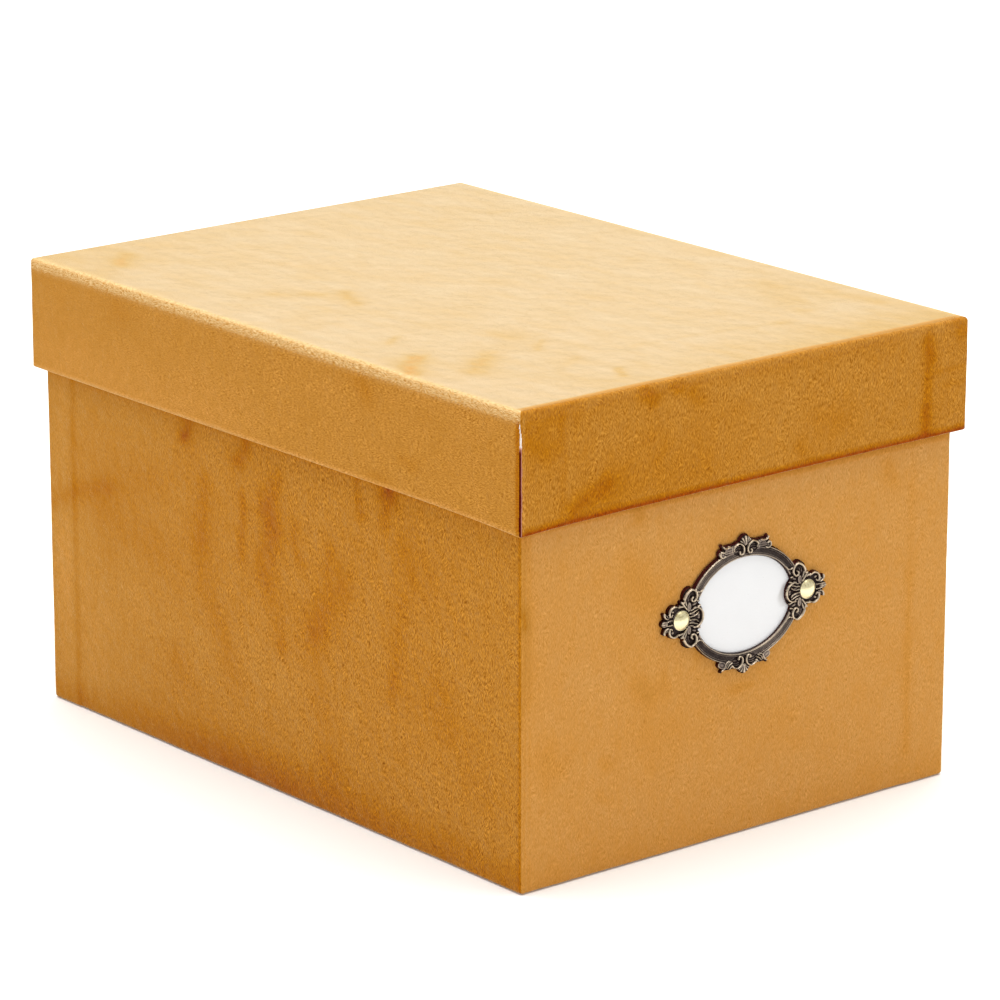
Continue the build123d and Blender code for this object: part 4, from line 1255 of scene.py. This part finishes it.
@dataclass
class LabelFrame:
    """The cast oval label frame: a moulded ring with a crest above and below and an ornate end on each side."""

    opening: Pair = (19.6, 15.0)
    ring: Pair = (22.9, 18.3)
    pin_u: float = 25.7
    pin_seat: float = 3.25
    seat: float = 1.3
    ground: float = 0.8
    edge: float = 1.3
    pocket: Pair = (21.3, 16.7)
    pocket_depth: float = 0.45
    light: Pair = (-0.45, 0.89)
    spacing: float = 0.15
    extent: Pair = (35.4, 22.5)
    lift: float = 0.22
    flare: Pair = (-0.62, 0.55)
    cove: tuple[float, ...] = (1.05, 1.25, 1.85, 2.0)
    notch_pitch: float = 0.62
    notch_depth: float = 0.04
    mean_reach: float = 20.6
    blurs: Pair = (0.3, 0.9)
    ridge_wear: Pair = (1.5, 0.6)
    height_wear: Pair = (0.32, 1.25)
    facing_light: float = 0.16
    quarter_light: float = 0.1
    moulding: tuple[Pair, ...] = (
        (0, 0.95), (0.08, 1.2), (0.22, 1.4), (0.38, 1.26), (0.5, 0.98), (0.6, 0.98), (0.7, 1.16), (0.8, 1.24),
        (0.9, 1.1), (0.98, 0.9), (1.08, 0.98), (1.6, 0.94), (2, 0.98), (2.1, 0.9), (2.22, 1.14), (2.36, 1.14),
        (2.52, 0.98), (2.64, 1.16), (2.8, 1.34), (2.96, 1.26), (3.1, 1.08), (3.3, 0.66),
    )
    crest: tuple[Rib | Bead, ...] = (
        *ribs(
            (0.34, 0.27, 0.85, 0.84, 5, 18.5, 4.3, 19.25, 3.1, 19.7, 2, 19.45, 1.1, 18.7,
             0.76, 17.6, 0.95, 16.7, 1.6, 16.15, 2.3, 16.4, 2.45, 17),
            (0.15, 0.13, 0.8, 0.26, 1.9, 18.6, 3, 18.85, 4, 18.55),
            (0.15, 0.13, 0.8, 0.24, 2.2, 18.05, 3.2, 18.2, 4.3, 17.9),
            (0.2, 0.15, 0.8, 0.26, 3, 17.3, 4.4, 17.1), (0.2, 0.5, 0.9, 0.62, 0, 18.9, 0, 21.3),
            (0.16, 0.38, 0.86, 0.52, 0.22, 18.9, 0.6, 19.9, 1.2, 20.95),
            (0.15, 0.32, 0.84, 0.46, 0.35, 18.9, 1.1, 19.75, 2.2, 20.45),
        ),
        *beads(
            (2.3, 17.05, 0.36, 0.36, 0.85, 0.7),
        ),
    )
    upper_leaf: tuple[Rib | Bead, ...] = (
        *ribs(
            (0.46, 0.3, 0.98, 0.34, 5.2, 18.85, 6.6, 18.95, 8, 18.55),
            (0.42, 0.34, 0.98, 0.34, 5.2, 18.2, 6.8, 18.25, 8.4, 17.95),
            (0.42, 0.3, 0.98, 0.32, 5.2, 17.55, 6.8, 17.55, 8.3, 17.4),
            (0.34, 0.24, 0.92, 0.28, 5, 16.95, 6.4, 16.9, 7.6, 16.7),
            (0.26, 0.28, 0.9, 0.72, 6.3, 19.4, 7.6, 19.15, 8.5, 19.25, 9.15, 19.85),
            (0.3, 0.34, 0.9, 0.64, 8.2, 16.75, 9.2, 16.45, 10, 16.85, 10.2, 17.7, 9.7, 18.25, 8.9, 18),
            (0.22, 0.2, 0.95, 0.56, 4.75, 19.15, 4.9, 18.4, 4.65, 17.6),
            (0.18, 0.18, 0.95, 0.5, 5.5, 19.3, 5.6, 18.4, 5.35, 17.3),
        ),
        *beads(
            (9.2, 17.3, 0.75, 0.6, 0.95, 0.34),
        ),
    )
    lower_leaf: tuple[Rib | Bead, ...] = (
        *ribs(
            (0.26, 0.2, 0.9, 0.52, 4.7, 18.6, 5.5, 18.9, 6.1, 19.5),
            (0.22, 0.2, 0.9, 0.5, 5, 17.6, 6.1, 18.1, 6.9, 18.9),
            (0.22, 0.2, 0.9, 0.5, 5.6, 17, 6.8, 17.6, 7.6, 18.8),
            (0.22, 0.28, 0.9, 0.6, 6.3, 16.7, 7.5, 17.3, 8.3, 18.8, 9.2, 19.35),
        ),
        *beads(
            (9.1, 17.5, 1.35, 0.82, 0.88, 0.44, -24, 0.27),
        ),
    )
    end: tuple[Rib | Bead, ...] = (
        *ribs(
            (0.5, 0.27, 0.85, 0.85, 24.95, 5.5, 24.55, 6.5, 23.5, 8, 21.7, 8.95, 20.2, 8.35, 19.6, 7.2,
             19.8, 6, 20.6, 5.2, 21.5, 5.35, 21.75, 6.1, 21.2, 6.6),
            (0.16, 0.14, 0.8, 0.26, 22.6, 7.9, 23.2, 7, 23.4, 5.9),
            (0.14, 0.14, 0.8, 0.22, 22.2, 7.4, 22.6, 6.6, 22.7, 5.6),
            (0.2, 0.27, 1, 0.5, 16.7, 8.75, 17.3, 8, 18.3, 7.65, 19.3, 7.9),
            (0.26, 0.38, 0.86, 0.66, 23.5, 3, 24.5, 4.2, 25.5, 5.5),
            (0.22, 0.3, 0.86, 0.5, 23.6, 4.2, 23.9, 5, 24.2, 5.9),
            (0.26, 0.38, 0.86, 0.58, 25, 4.2, 26.4, 4.45),
            (0.28, 0.36, 0.88, 0.8, 20.7, 3.05, 19.3, 2.95, 18, 2.2, 17.2, 1.05, 17.05, 0),
            (0.28, 0.26, 0.88, 0.66, 19.1, 3.2, 18.25, 3.5, 18, 4.15, 18.5, 4.85, 19.4, 5.05),
            (0.24, 0.2, 0.86, 0.62, 22.4, 0.5, 20.9, 0.52, 19.7, 0.85, 18.9, 1.5),
            (0.26, 0.2, 0.86, 0.5, 22.2, 1.45, 21, 1.6, 20, 2, 19.1, 2.3),
            (0.22, 0.22, 0.86, 0.46, 21.9, 2.4, 21, 2.6, 20.2, 3.3),
            (0.34, 0.4, 0.85, 0.8, 30.4, 2.1, 30.5, 3.2, 29.9, 4.2, 28.8, 4.75, 27.6, 4.75, 26.7, 4.3),
            (0.28, 0.24, 0.85, 0.6, 30.4, 2.1, 29.8, 1.9, 29.3, 2.4),
            (0.22, 0.24, 0.86, 0.66, 29.3, 0.72, 30.7, 0.72, 31.6, 0.42, 31.8, 0),
            (0.26, 0.3, 1, 0.55, 31.5, 0, 33.2, 0), (0.2, 0.2, 0.96, 0.42, 31.4, 0.62, 32.4, 0.7, 33.1, 0.42),
            (0.26, 0.32, 0.86, 0.66, 31.1, 1.45, 31.9, 1.8, 32.4, 2.5, 32.4, 3.2),
            (0.22, 0.2, 0.84, 0.42, 30.5, 1.5, 31.2, 2.2, 31.5, 2.9),
        ),
        *beads(
            (22.55, 3.6, 0.46, 0.92, 0.9, 0.36, 6, 0.24), (18.5, 0.35, 0.5, 0.5, 0.82, 0.3),
            (20.9, 1.05, 1.1, 0.3, 0.82, 0.34, 6), (20.3, 4.2, 0.9, 0.42, 0.82, 0.36, -20),
            (29.1, 3.3, 0.62, 0.42, 0.85, 0.4, 30), (32.1, 0, 1.3, 1, 0.86, 0.5),
        ),
    )
    outline_ovals: tuple[tuple[float, float, float, float], ...] = (
        (0, 18.9, 2.5, 3), (2.7, 17.9, 2.2, 2.15), (22.2, 6.75, 2.75, 2.65), (23.95, 4.1, 1.95, 1.95),
        (25.7, 0, 4.1, 4.1), (28.7, 3.1, 2.2, 2.05), (9.3, 17.4, 1.3, 1.25), (32.1, 0, 1.5, 1.25),
    )
    outline_strokes: tuple[Rib, ...] = (
        *ribs(
            (1.3, 1, 0, 0, 4.4, 18.3, 7.2, 18.2, 9.3, 17.5),
            (0.5, 0.36, 0, 0, 6.3, 19.1, 8.5, 19.1, 9.2, 19.8), (0.9, 0.46, 0, 0, 24.2, 4.6, 25.6, 5.5),
            (0.8, 0.5, 0, 0, 24.6, 4.2, 26.5, 4.5), (3, 1.25, 0, 0, 29, 0, 32, 0),
            (1.1, 0.5, 0, 0, 30.2, 1.4, 31.6, 1.9, 32.4, 3),
        ),
    )

    def outline(self, u: Array, v: Array) -> Array:
        """Distance outside the casting's outer outline, less than 0 inside: the least over its shapes."""
        a, b = np.abs(u), np.abs(v)
        gap = oval_gap(u, v, *self.ring)
        for centre_u, centre_v, reach_u, reach_v in self.outline_ovals:
            gap = np.minimum(gap, oval_gap(a - centre_u, b - centre_v, reach_u, reach_v))
        for stroke in self.outline_strokes:
            gap = np.minimum(gap, stroke.nearest(a, b)[1])
        return gap

    def solid(self, u: Array, v: Array) -> Array:
        """Distance outside the metal: beyond the outline, or in the opening and not in a lobe."""
        lobe = oval_gap(np.abs(u) - LOBE[0], v, *LOBE[1:])
        hole = np.maximum(oval_gap(u, v, *self.opening), -lobe)
        return np.maximum(self.outline(u, v), -hole)

    def relief(self, u: Array, v: Array, solid: Array) -> Array:
        """The height of the casting's face above the wall.

        It is the highest of the ring's moulding, the ground and each rib and bead, cut down towards
        the outline by edge height plus the root of the distance from it.

        Args:
            u: Level coordinate from the middle.
            v: Upward coordinate from the middle.
            solid: Distance outside the metal.

        Returns:
            Heights in millimetres.
        """
        a, b = np.abs(u), np.abs(v)
        inward = -oval_gap(u, v, *self.ring)
        moulding = np.interp(inward, *np.array(self.moulding).T, left=self.ground)
        girth = np.arctan2(v / self.ring[1], u / self.ring[0]) * self.mean_reach
        in_cove = ease(*self.cove[:2], inward) * (1 - ease(*self.cove[2:], inward))
        moulding = moulding + self.notch_depth * in_cove * np.cos(TURN * girth / self.notch_pitch)
        in_crest = np.minimum(oval_gap(a - 2.3, b - 18.6, 3.4, 2.6), self.outline_strokes[0].nearest(a, b)[1] - 0.1)
        in_end = np.minimum(oval_gap(a - 21.2, b, 5.6, 6.9), oval_gap(a - 21.9, b - 6.6, 2.9, 2.6))
        height = np.where(np.minimum(in_crest, in_end) < 0, self.ground, moulding)
        inner_bead = np.where((in_end > 0) & (inward > 2.1), moulding, 0.0)
        height = np.maximum(height, inner_bead)
        shapes = [(shape, b) for shape in (*self.crest, *self.end)]
        shapes += [(shape, v) for shape in self.upper_leaf] + [(shape, -v) for shape in self.lower_leaf]
        for shape, upward in shapes:
            height = np.maximum(height, shape.height(a, upward))
        height = np.where(np.hypot(a - self.pin_u, v) < self.pin_seat, self.seat, height + self.lift)
        return np.minimum(height, self.edge + 1.1 * np.sqrt(np.clip(-solid, 0, 4) / 0.8))

    def back(self, u: Array, v: Array) -> Array:
        """The height of the casting's back: raised by the pocket's depth where the card lies or slides out."""
        behind_card = oval_gap(u, v, *self.pocket) < 0
        slot = (np.abs(u) < self.pocket[0]) & (v > 0)
        return np.where(behind_card | slot, self.pocket_depth, 0.0)

    def flared(self, u: Array, v: Array) -> tuple[Array, Array]:
        """The foot of the outer walls, which stands out on the upper left, so that the dark walls widen there as a
        painted shadow of the frame on the pile.

        A point of the outline moves along its outward direction by that direction's share of flare,
        and by nothing where the share is under 0; points further in or beside the opening stay, as do
        those of the lower half.
        """
        outline = self.outline(u, v)
        slope_v, slope_u = np.gradient(outline, self.spacing)
        steep = np.maximum(np.hypot(slope_u, slope_v), 0.4)
        slope_u, slope_v = slope_u / steep, slope_v / steep
        share = np.maximum(slope_u * self.flare[0] + slope_v * self.flare[1], 0.0)
        share = share * ease(-0.5, -0.05, outline) * ease(2.0, 6.5, v) * (1 - 0.7 * ease(21.5, 25.5, np.abs(u)))
        return u + share * slope_u, v + share * slope_v

    def wear_and_light(self, height: Array, u: Array, v: Array) -> Array:
        """How worn each point of the grid is, with painted light and shade, 0 to 1.

        It rises with the height above the neighbourhood's mean, a Gaussian blur made by multiplying
        the grid's Fourier transform, and with the height itself. As painted light it also rises on slopes
        that face up and to the left and falls on those that face down and to the right, and the upper
        left and lower right quarters are painted a little lighter than the other two.
        """
        rows, columns = height.shape
        freq = np.hypot(np.fft.fftfreq(rows)[:, None], np.fft.rfftfreq(columns)[None, :]) / self.spacing
        near, wide = (
            np.fft.irfft2(np.fft.rfft2(height) * np.exp(-2 * (np.pi * sigma * freq) ** 2), s=height.shape)
            for sigma in self.blurs
        )
        ridge = self.ridge_wear[0] * (height - near) + self.ridge_wear[1] * (height - wide)
        raised = self.height_wear[0] * (height - self.height_wear[1])
        slope_v, slope_u = np.gradient(near, self.spacing)
        facing = np.tanh(-(slope_u * self.light[0] + slope_v * self.light[1]) * 0.9)
        quarter = -2 * u * v / np.maximum(u * u + v * v, 1.0)
        return np.clip(0.4 + ridge + raised + self.facing_light * facing + self.quarter_light * quarter, 0, 1)

    def build(self, finish: bpy.types.Material) -> bpy.types.Object:
        """Builds the casting as one closed relief in metal, riding on the base.

        Grid points close to the outline are moved onto it along the distance's slope. Squares whose
        middles lie in the metal become the face and the back, and their free edges become walls.
        """
        count = [int(2 * reach / self.spacing) | 1 for reach in self.extent]
        u, v = np.meshgrid(*(np.linspace(-r, r, n) for r, n in zip(self.extent, count)), indexing="xy")
        gap = self.solid(u, v)
        slope_v, slope_u = np.gradient(gap, v[1, 0] - v[0, 0], u[0, 1] - u[0, 0])
        steep = np.maximum(np.hypot(slope_u, slope_v), 0.4)
        near = np.abs(gap) < 0.62 * self.spacing
        shift = np.where(near, gap / steep**2, 0.0)
        inside = (gap < 0) | near
        face_wear_and_light = self.wear_and_light(np.where(gap < 0, self.relief(u, v, gap), 1.05), u, v)
        u, v = u - shift * slope_u, v - shift * slope_v
        gap = self.solid(u, v)
        height, back = self.relief(u, v, gap), self.back(u, v)
        foot_u, foot_v = self.flared(u, v)
        whole = quad_corners(inside).all(axis=-1) & (quad_corners(gap).mean(axis=-1) < -1e-3)
        face = quad_corners(np.arange(u.size).reshape(u.shape))[whole]
        edges = np.concatenate([face[:, [k, (k + 1) % 4]] for k in range(4)])
        a, b = edges[~np.isin(edges @ [u.size, 1], edges @ [1, u.size])].T
        # Point numbers go on by rows: face, back, and a brow just under the face, where the dark patina and the painted
        # shadow's red start.
        back_row, brow_row = u.size, 2 * u.size
        upper = np.stack([b, a, a + brow_row, b + brow_row], -1)
        lower = np.stack([b + brow_row, a + brow_row, a + back_row, b + back_row], -1)
        faces = np.concatenate([face, face[:, ::-1] + back_row, upper, lower])
        used, faces = np.unique(faces, return_inverse=True)
        x = np.stack([u, foot_u, 0.8 * u + 0.2 * foot_u])
        y = FRONT_WALL - np.stack([height, back, 0.84 * height + 0.16 * back])
        z = np.stack([v, foot_v, 0.8 * v + 0.2 * foot_v]) + FRAME_HEIGHT
        points = np.stack([x, y, z], -1).reshape(-1, 3)[used]
        dark = np.full(2 * u.size, 0.02)
        values = {
            "wear_and_light": np.concatenate([face_wear_and_light.ravel(), dark])[used],
            "wall_shadow": (np.arange(3 * u.size) >= u.size)[used],
        }
        obj = new_piece("oval_label_frame", points, faces.reshape(-1, 4).tolist(), values, 58.0)
        obj.data.materials.append(finish)
        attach(obj, Body.BASE.value)
        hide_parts("label_frame")
        report(obj, Body.BASE)
        return obj


@dataclass
class SplitPins:
    """Two brass split pins: a domed cap on each end of the label frame, and two legs splayed inside the wall."""

    spacing: float = 51.4
    seat: float = 1.32
    radius: float = 3.1
    height: float = 1.58
    bend: float = 0.16
    turns: int = 96

    def cap_profile(self) -> Array:
        """From the middle of the flat underside, round the rolled rim, and over the dome to its crown.

        The dome is an arc through the rim's shoulder and the crown: a sphere of radius
        (shoulder² + rise²) / (2 rise).
        """
        turn = np.linspace(-np.pi / 2, np.pi / 2, 9)
        shoulder, rise = self.radius - self.bend, self.height - 2 * self.bend
        roll = np.stack([np.cos(turn), 1 + np.sin(turn)], -1) * self.bend + [shoulder, self.seat]
        sphere = (shoulder**2 + rise**2) / (2 * rise)
        radii = shoulder * np.cos(np.linspace(0, np.pi / 2, 26)[1:])
        radii[-1] = 0.0
        dome_rise = np.sqrt(sphere**2 - radii**2) - (sphere - rise) + self.seat + 2 * self.bend
        under = np.array([[0.0, self.seat], [shoulder * 0.55, self.seat]])
        return np.vstack([under, roll, np.stack([radii, dome_rise], -1)])

    def cap(self, name: str, axis_u: float) -> bpy.types.Object:
        """Turns the cap's profile about an axis that stands out of the front wall at a level place."""
        turn = np.linspace(0, TURN, self.turns + 1)
        closed = np.append(turn[:-1], 0.0)
        radius, rise = self.cap_profile().T[:, :, None]
        points = np.stack(
            np.broadcast_arrays(
                axis_u + radius * np.cos(closed), FRONT_WALL - rise, FRAME_HEIGHT + radius * np.sin(closed)
            ),
            -1,
        )
        skin = Skin(name)
        skin.add_grid(points, np.stack([radius * np.cos(turn), radius * np.sin(turn)], -1))
        return skin.build(48.0)

    def build(self, finish: bpy.types.Material, strip: bpy.types.Material) -> None:
        """Builds both caps in brass and dresses the legs in strip."""
        for side, sign in (("left", -1), ("right", 1)):
            obj = self.cap(f"domed_pin_cap_{side}", sign * self.spacing / 2)
            obj.data.materials.append(finish)
            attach(obj, Body.BASE.value)
            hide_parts(f"split_pin_cap_{side}")
            dress(f"split_pin_legs_{side}", strip)
            report(obj, Body.BASE)


@dataclass
class LabelCard:
    """The white oval card behind the label frame's opening, dented beside one lobe of the frame and painted with that
    lobe's shadow.
    """

    reach: Pair = (21.0, 16.4)
    behind: float = 0.1
    thickness: float = 0.25
    bend: float = 0.06
    dent_depth: float = 0.05
    shadow_share: float = 0.42
    turns: int = 240

    def dent_and_shadow(self, u: Array, v: Array) -> Array:
        """How deep the card is pressed and how dark the painted shadow is, 0 to 1: a soft crescent along the right
        lobe's edge that ends sharply below.
        """
        gap = oval_gap(u - LOBE[0], v - 0.6, LOBE[1] - 0.1, LOBE[2])
        along = ease(-4.5, -3.8, v) * (1 - ease(2.0, 4.4, v)) * (1 - 0.4 * (1 - ease(-3.4, -1.4, v)))
        reach = 1.3 + 1.8 * (1 - ease(-1.2, 2.4, v))
        return (1 - ease(0.55 * reach, 1.15 * reach, gap)) * along * (u > 0)

    def build(self, finish: bpy.types.Material) -> bpy.types.Object:
        """Builds the card, riding on its own body.

        Its section runs from the middle of one face round a softened edge to the middle of the other,
        and is carried round an oval.
        """
        low, high = self.behind, self.behind + self.thickness
        shares = np.concatenate([np.linspace(0, 0.96, 50), [0.985]])
        back = np.stack([shares[[0, 10, 20, 30, 40, -1]], np.full(6, low)], -1)
        front = np.stack([shares[::-1], np.full_like(shares, high)], -1)
        brink = 1 - self.bend / self.reach[0]
        edge = [[brink, low], [1.0, low + self.bend], [1.0, high - self.bend], [brink, high]]
        turn = np.append(np.linspace(0, TURN, self.turns + 1)[:-1], 0.0)
        share, rise = np.vstack([back, edge, front]).T[:, :, None]
        u, v = share * self.reach[0] * np.cos(turn), share * self.reach[1] * np.sin(turn)
        dent_and_shadow = np.where(rise > high - 1e-6, self.dent_and_shadow(u, v), 0.0)
        points = np.stack([u, FRONT_WALL - rise + self.dent_depth * dent_and_shadow, FRAME_HEIGHT + v], -1)
        card = Skin("oval_label_card")
        # The card goes grey over the crescent, a painted shadow of the lobe.
        card.add_grid(points, points[..., [0, 2]], rubbed=self.shadow_share * dent_and_shadow)
        obj = card.build(50.0)
        obj.data.materials.append(finish)
        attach(obj, Body.CARD.value)
        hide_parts("label_card")
        report(obj, Body.CARD)
        return obj


@dataclass(frozen=True)
class Carcass:
    """The hidden boards, corner tapes and lining papers of base and lid."""

    board: PaperFinish = PaperFinish(
        "pressed_greyboard", "#A79F92", "#8C8478", "#5E574D", fibre=0.5, fleck_share=0.66, relief=0.08
    )
    tape: PaperFinish = PaperFinish("brown_kraft_tape", "#B98F5E", "#A07648", "#7C5A34", roughness=0.6, fibre=0.4)
    lining: PaperFinish = PaperFinish(
        "ivory_laid_lining_paper", "#EFE6D3", "#E6DAC2", "#CDBB98", fibre=0.4, fleck_share=0.72
    )
    foot: PaperFinish = PaperFinish(
        "ochre_coated_foot_paper", "#D0A45C", "#C39650", "#94713A", roughness=0.7, fibre=0.3, fleck_share=0.7
    )

    def dress_all(self) -> None:
        """Gives every board, tape and paper its material."""
        halves, ends, flanks = ("base", "lid"), ("front", "rear"), ("left", "right")
        boards = [f"{half}_{side}_board" for half in halves for side in (*ends, *flanks)]
        tapes = [f"{half}_corner_stay_{end}_{flank}" for half in halves for end in ends for flank in flanks]
        for finish, nodes in (
            (self.board, ("base_floor_board", "lid_top_board", *boards)),
            (self.tape, tapes),
            (self.lining, ("base_wall_lining", "base_floor_lining", "lid_lining")),
            (self.foot, ("base_bottom_sheet",)),
        ):
            material = finish.material()
            for node in nodes:
                dress(node, material)


@dataclass
class Studio:
    """A pale floor, soft light and the photograph's camera. Its places are in metres."""

    eye: tuple[float, float, float] = (-0.97655, -1.19741, 0.52511)
    azimuth: float = -39.339
    elevation: float = 16.090
    lens: float = 180.25
    sensor: float = 36.0
    floor_radius: float = 6.0
    sky: float = 0.66
    glow: float = 0.07

    def camera(self) -> None:
        """Places the camera where the photograph was taken from."""
        data = bpy.data.cameras.new("camera")
        data.lens, data.sensor_width = self.lens, self.sensor
        data.clip_start, data.clip_end = 0.05, 50.0
        obj = link("camera", data)
        obj.location = self.eye
        obj.rotation_euler = (np.radians(90 - self.elevation), 0.0, np.radians(self.azimuth))
        bpy.context.scene.camera = obj

    def light(self, name: str, place: tuple[float, float, float], size: float, power: float) -> None:
        """Adds one square soft white light of a size in metres and a power in watts, aimed at the box."""
        data = bpy.data.lights.new(name, "AREA")
        data.shape, data.size, data.energy = "SQUARE", size, power
        obj = link(name, data)
        obj.location = place
        obj.rotation_euler = (Vector((0.0, 0.0, 0.08)) - Vector(place)).to_track_quat("-Z", "Y").to_euler()

    def floor(self) -> bpy.types.Object:
        """Builds the floor of white paper, a disc that glows a little so that it stays pale."""
        turn = np.linspace(0, TURN, 129)[:-1]
        rim = np.stack([self.floor_radius * np.cos(turn), self.floor_radius * np.sin(turn), 0 * turn], -1)
        mesh = bpy.data.meshes.new("floor")
        mesh.from_pydata(rim.tolist(), [], [list(range(len(rim)))])
        paint = Paint("white_studio_paper")
        colour = paint.ramp(paint.noise(paint.place(), (0.4, 0.4, 0.4)), ((0.0, "#F3F3F2"), (1.0, "#F7F7F6")))
        inputs = {
            "Base Color": colour,
            "Roughness": 0.9,
            "Specular IOR Level": 0.1,
            "Emission Color": to_linear("#FFFFFF"),
            "Emission Strength": self.glow,
        }
        mesh.materials.append(paint.finish(inputs))
        return link("floor", mesh)

    def build(self) -> None:
        """Builds the floor, the sky and the light."""
        floor = self.floor()
        world = bpy.data.worlds.new("studio")
        world.use_nodes = True
        sky = world.node_tree.nodes["Background"]
        sky.inputs["Color"].default_value = to_linear("#FFFFFF")
        sky.inputs["Strength"].default_value = self.sky
        scene = bpy.context.scene
        scene.world = world
        self.light("overhead_softbox", (0.1, 0.2, 2.6), 3.2, 100.0)
        scene.view_settings.view_transform = "Standard"
        scene.view_settings.look = "None"
        self.camera()


def main() -> None:
    """Builds the scene in order: studio, coverings, label hardware, carcass."""
    logging.basicConfig(level=logging.INFO, format="%(name)s: %(message)s")
    Studio().build()
    velvet = VelvetFinish().material()
    VelvetBase().build(velvet)
    VelvetLid().build(velvet, RawEdgeFinish().material())
    LabelFrame().build(AntiqueMetalFinish().material())
    strip = BrassFinish("brass_strip", "#D9C07A", "#8A7038", roughness=0.32)
    SplitPins().build(BrassFinish().material(), strip.material())
    card = PaperFinish(
        "white_coated_card", "#E8E8E8", "#E4E4E4", "#DCDBD8", roughness=0.45, fibre=0.3, fleck_share=0.8,
        relief=0.01, gloss=0.8,
    )
    LabelCard().build(card.material())
    Carcass().dress_all()


if __name__ == "__main__":
    main()
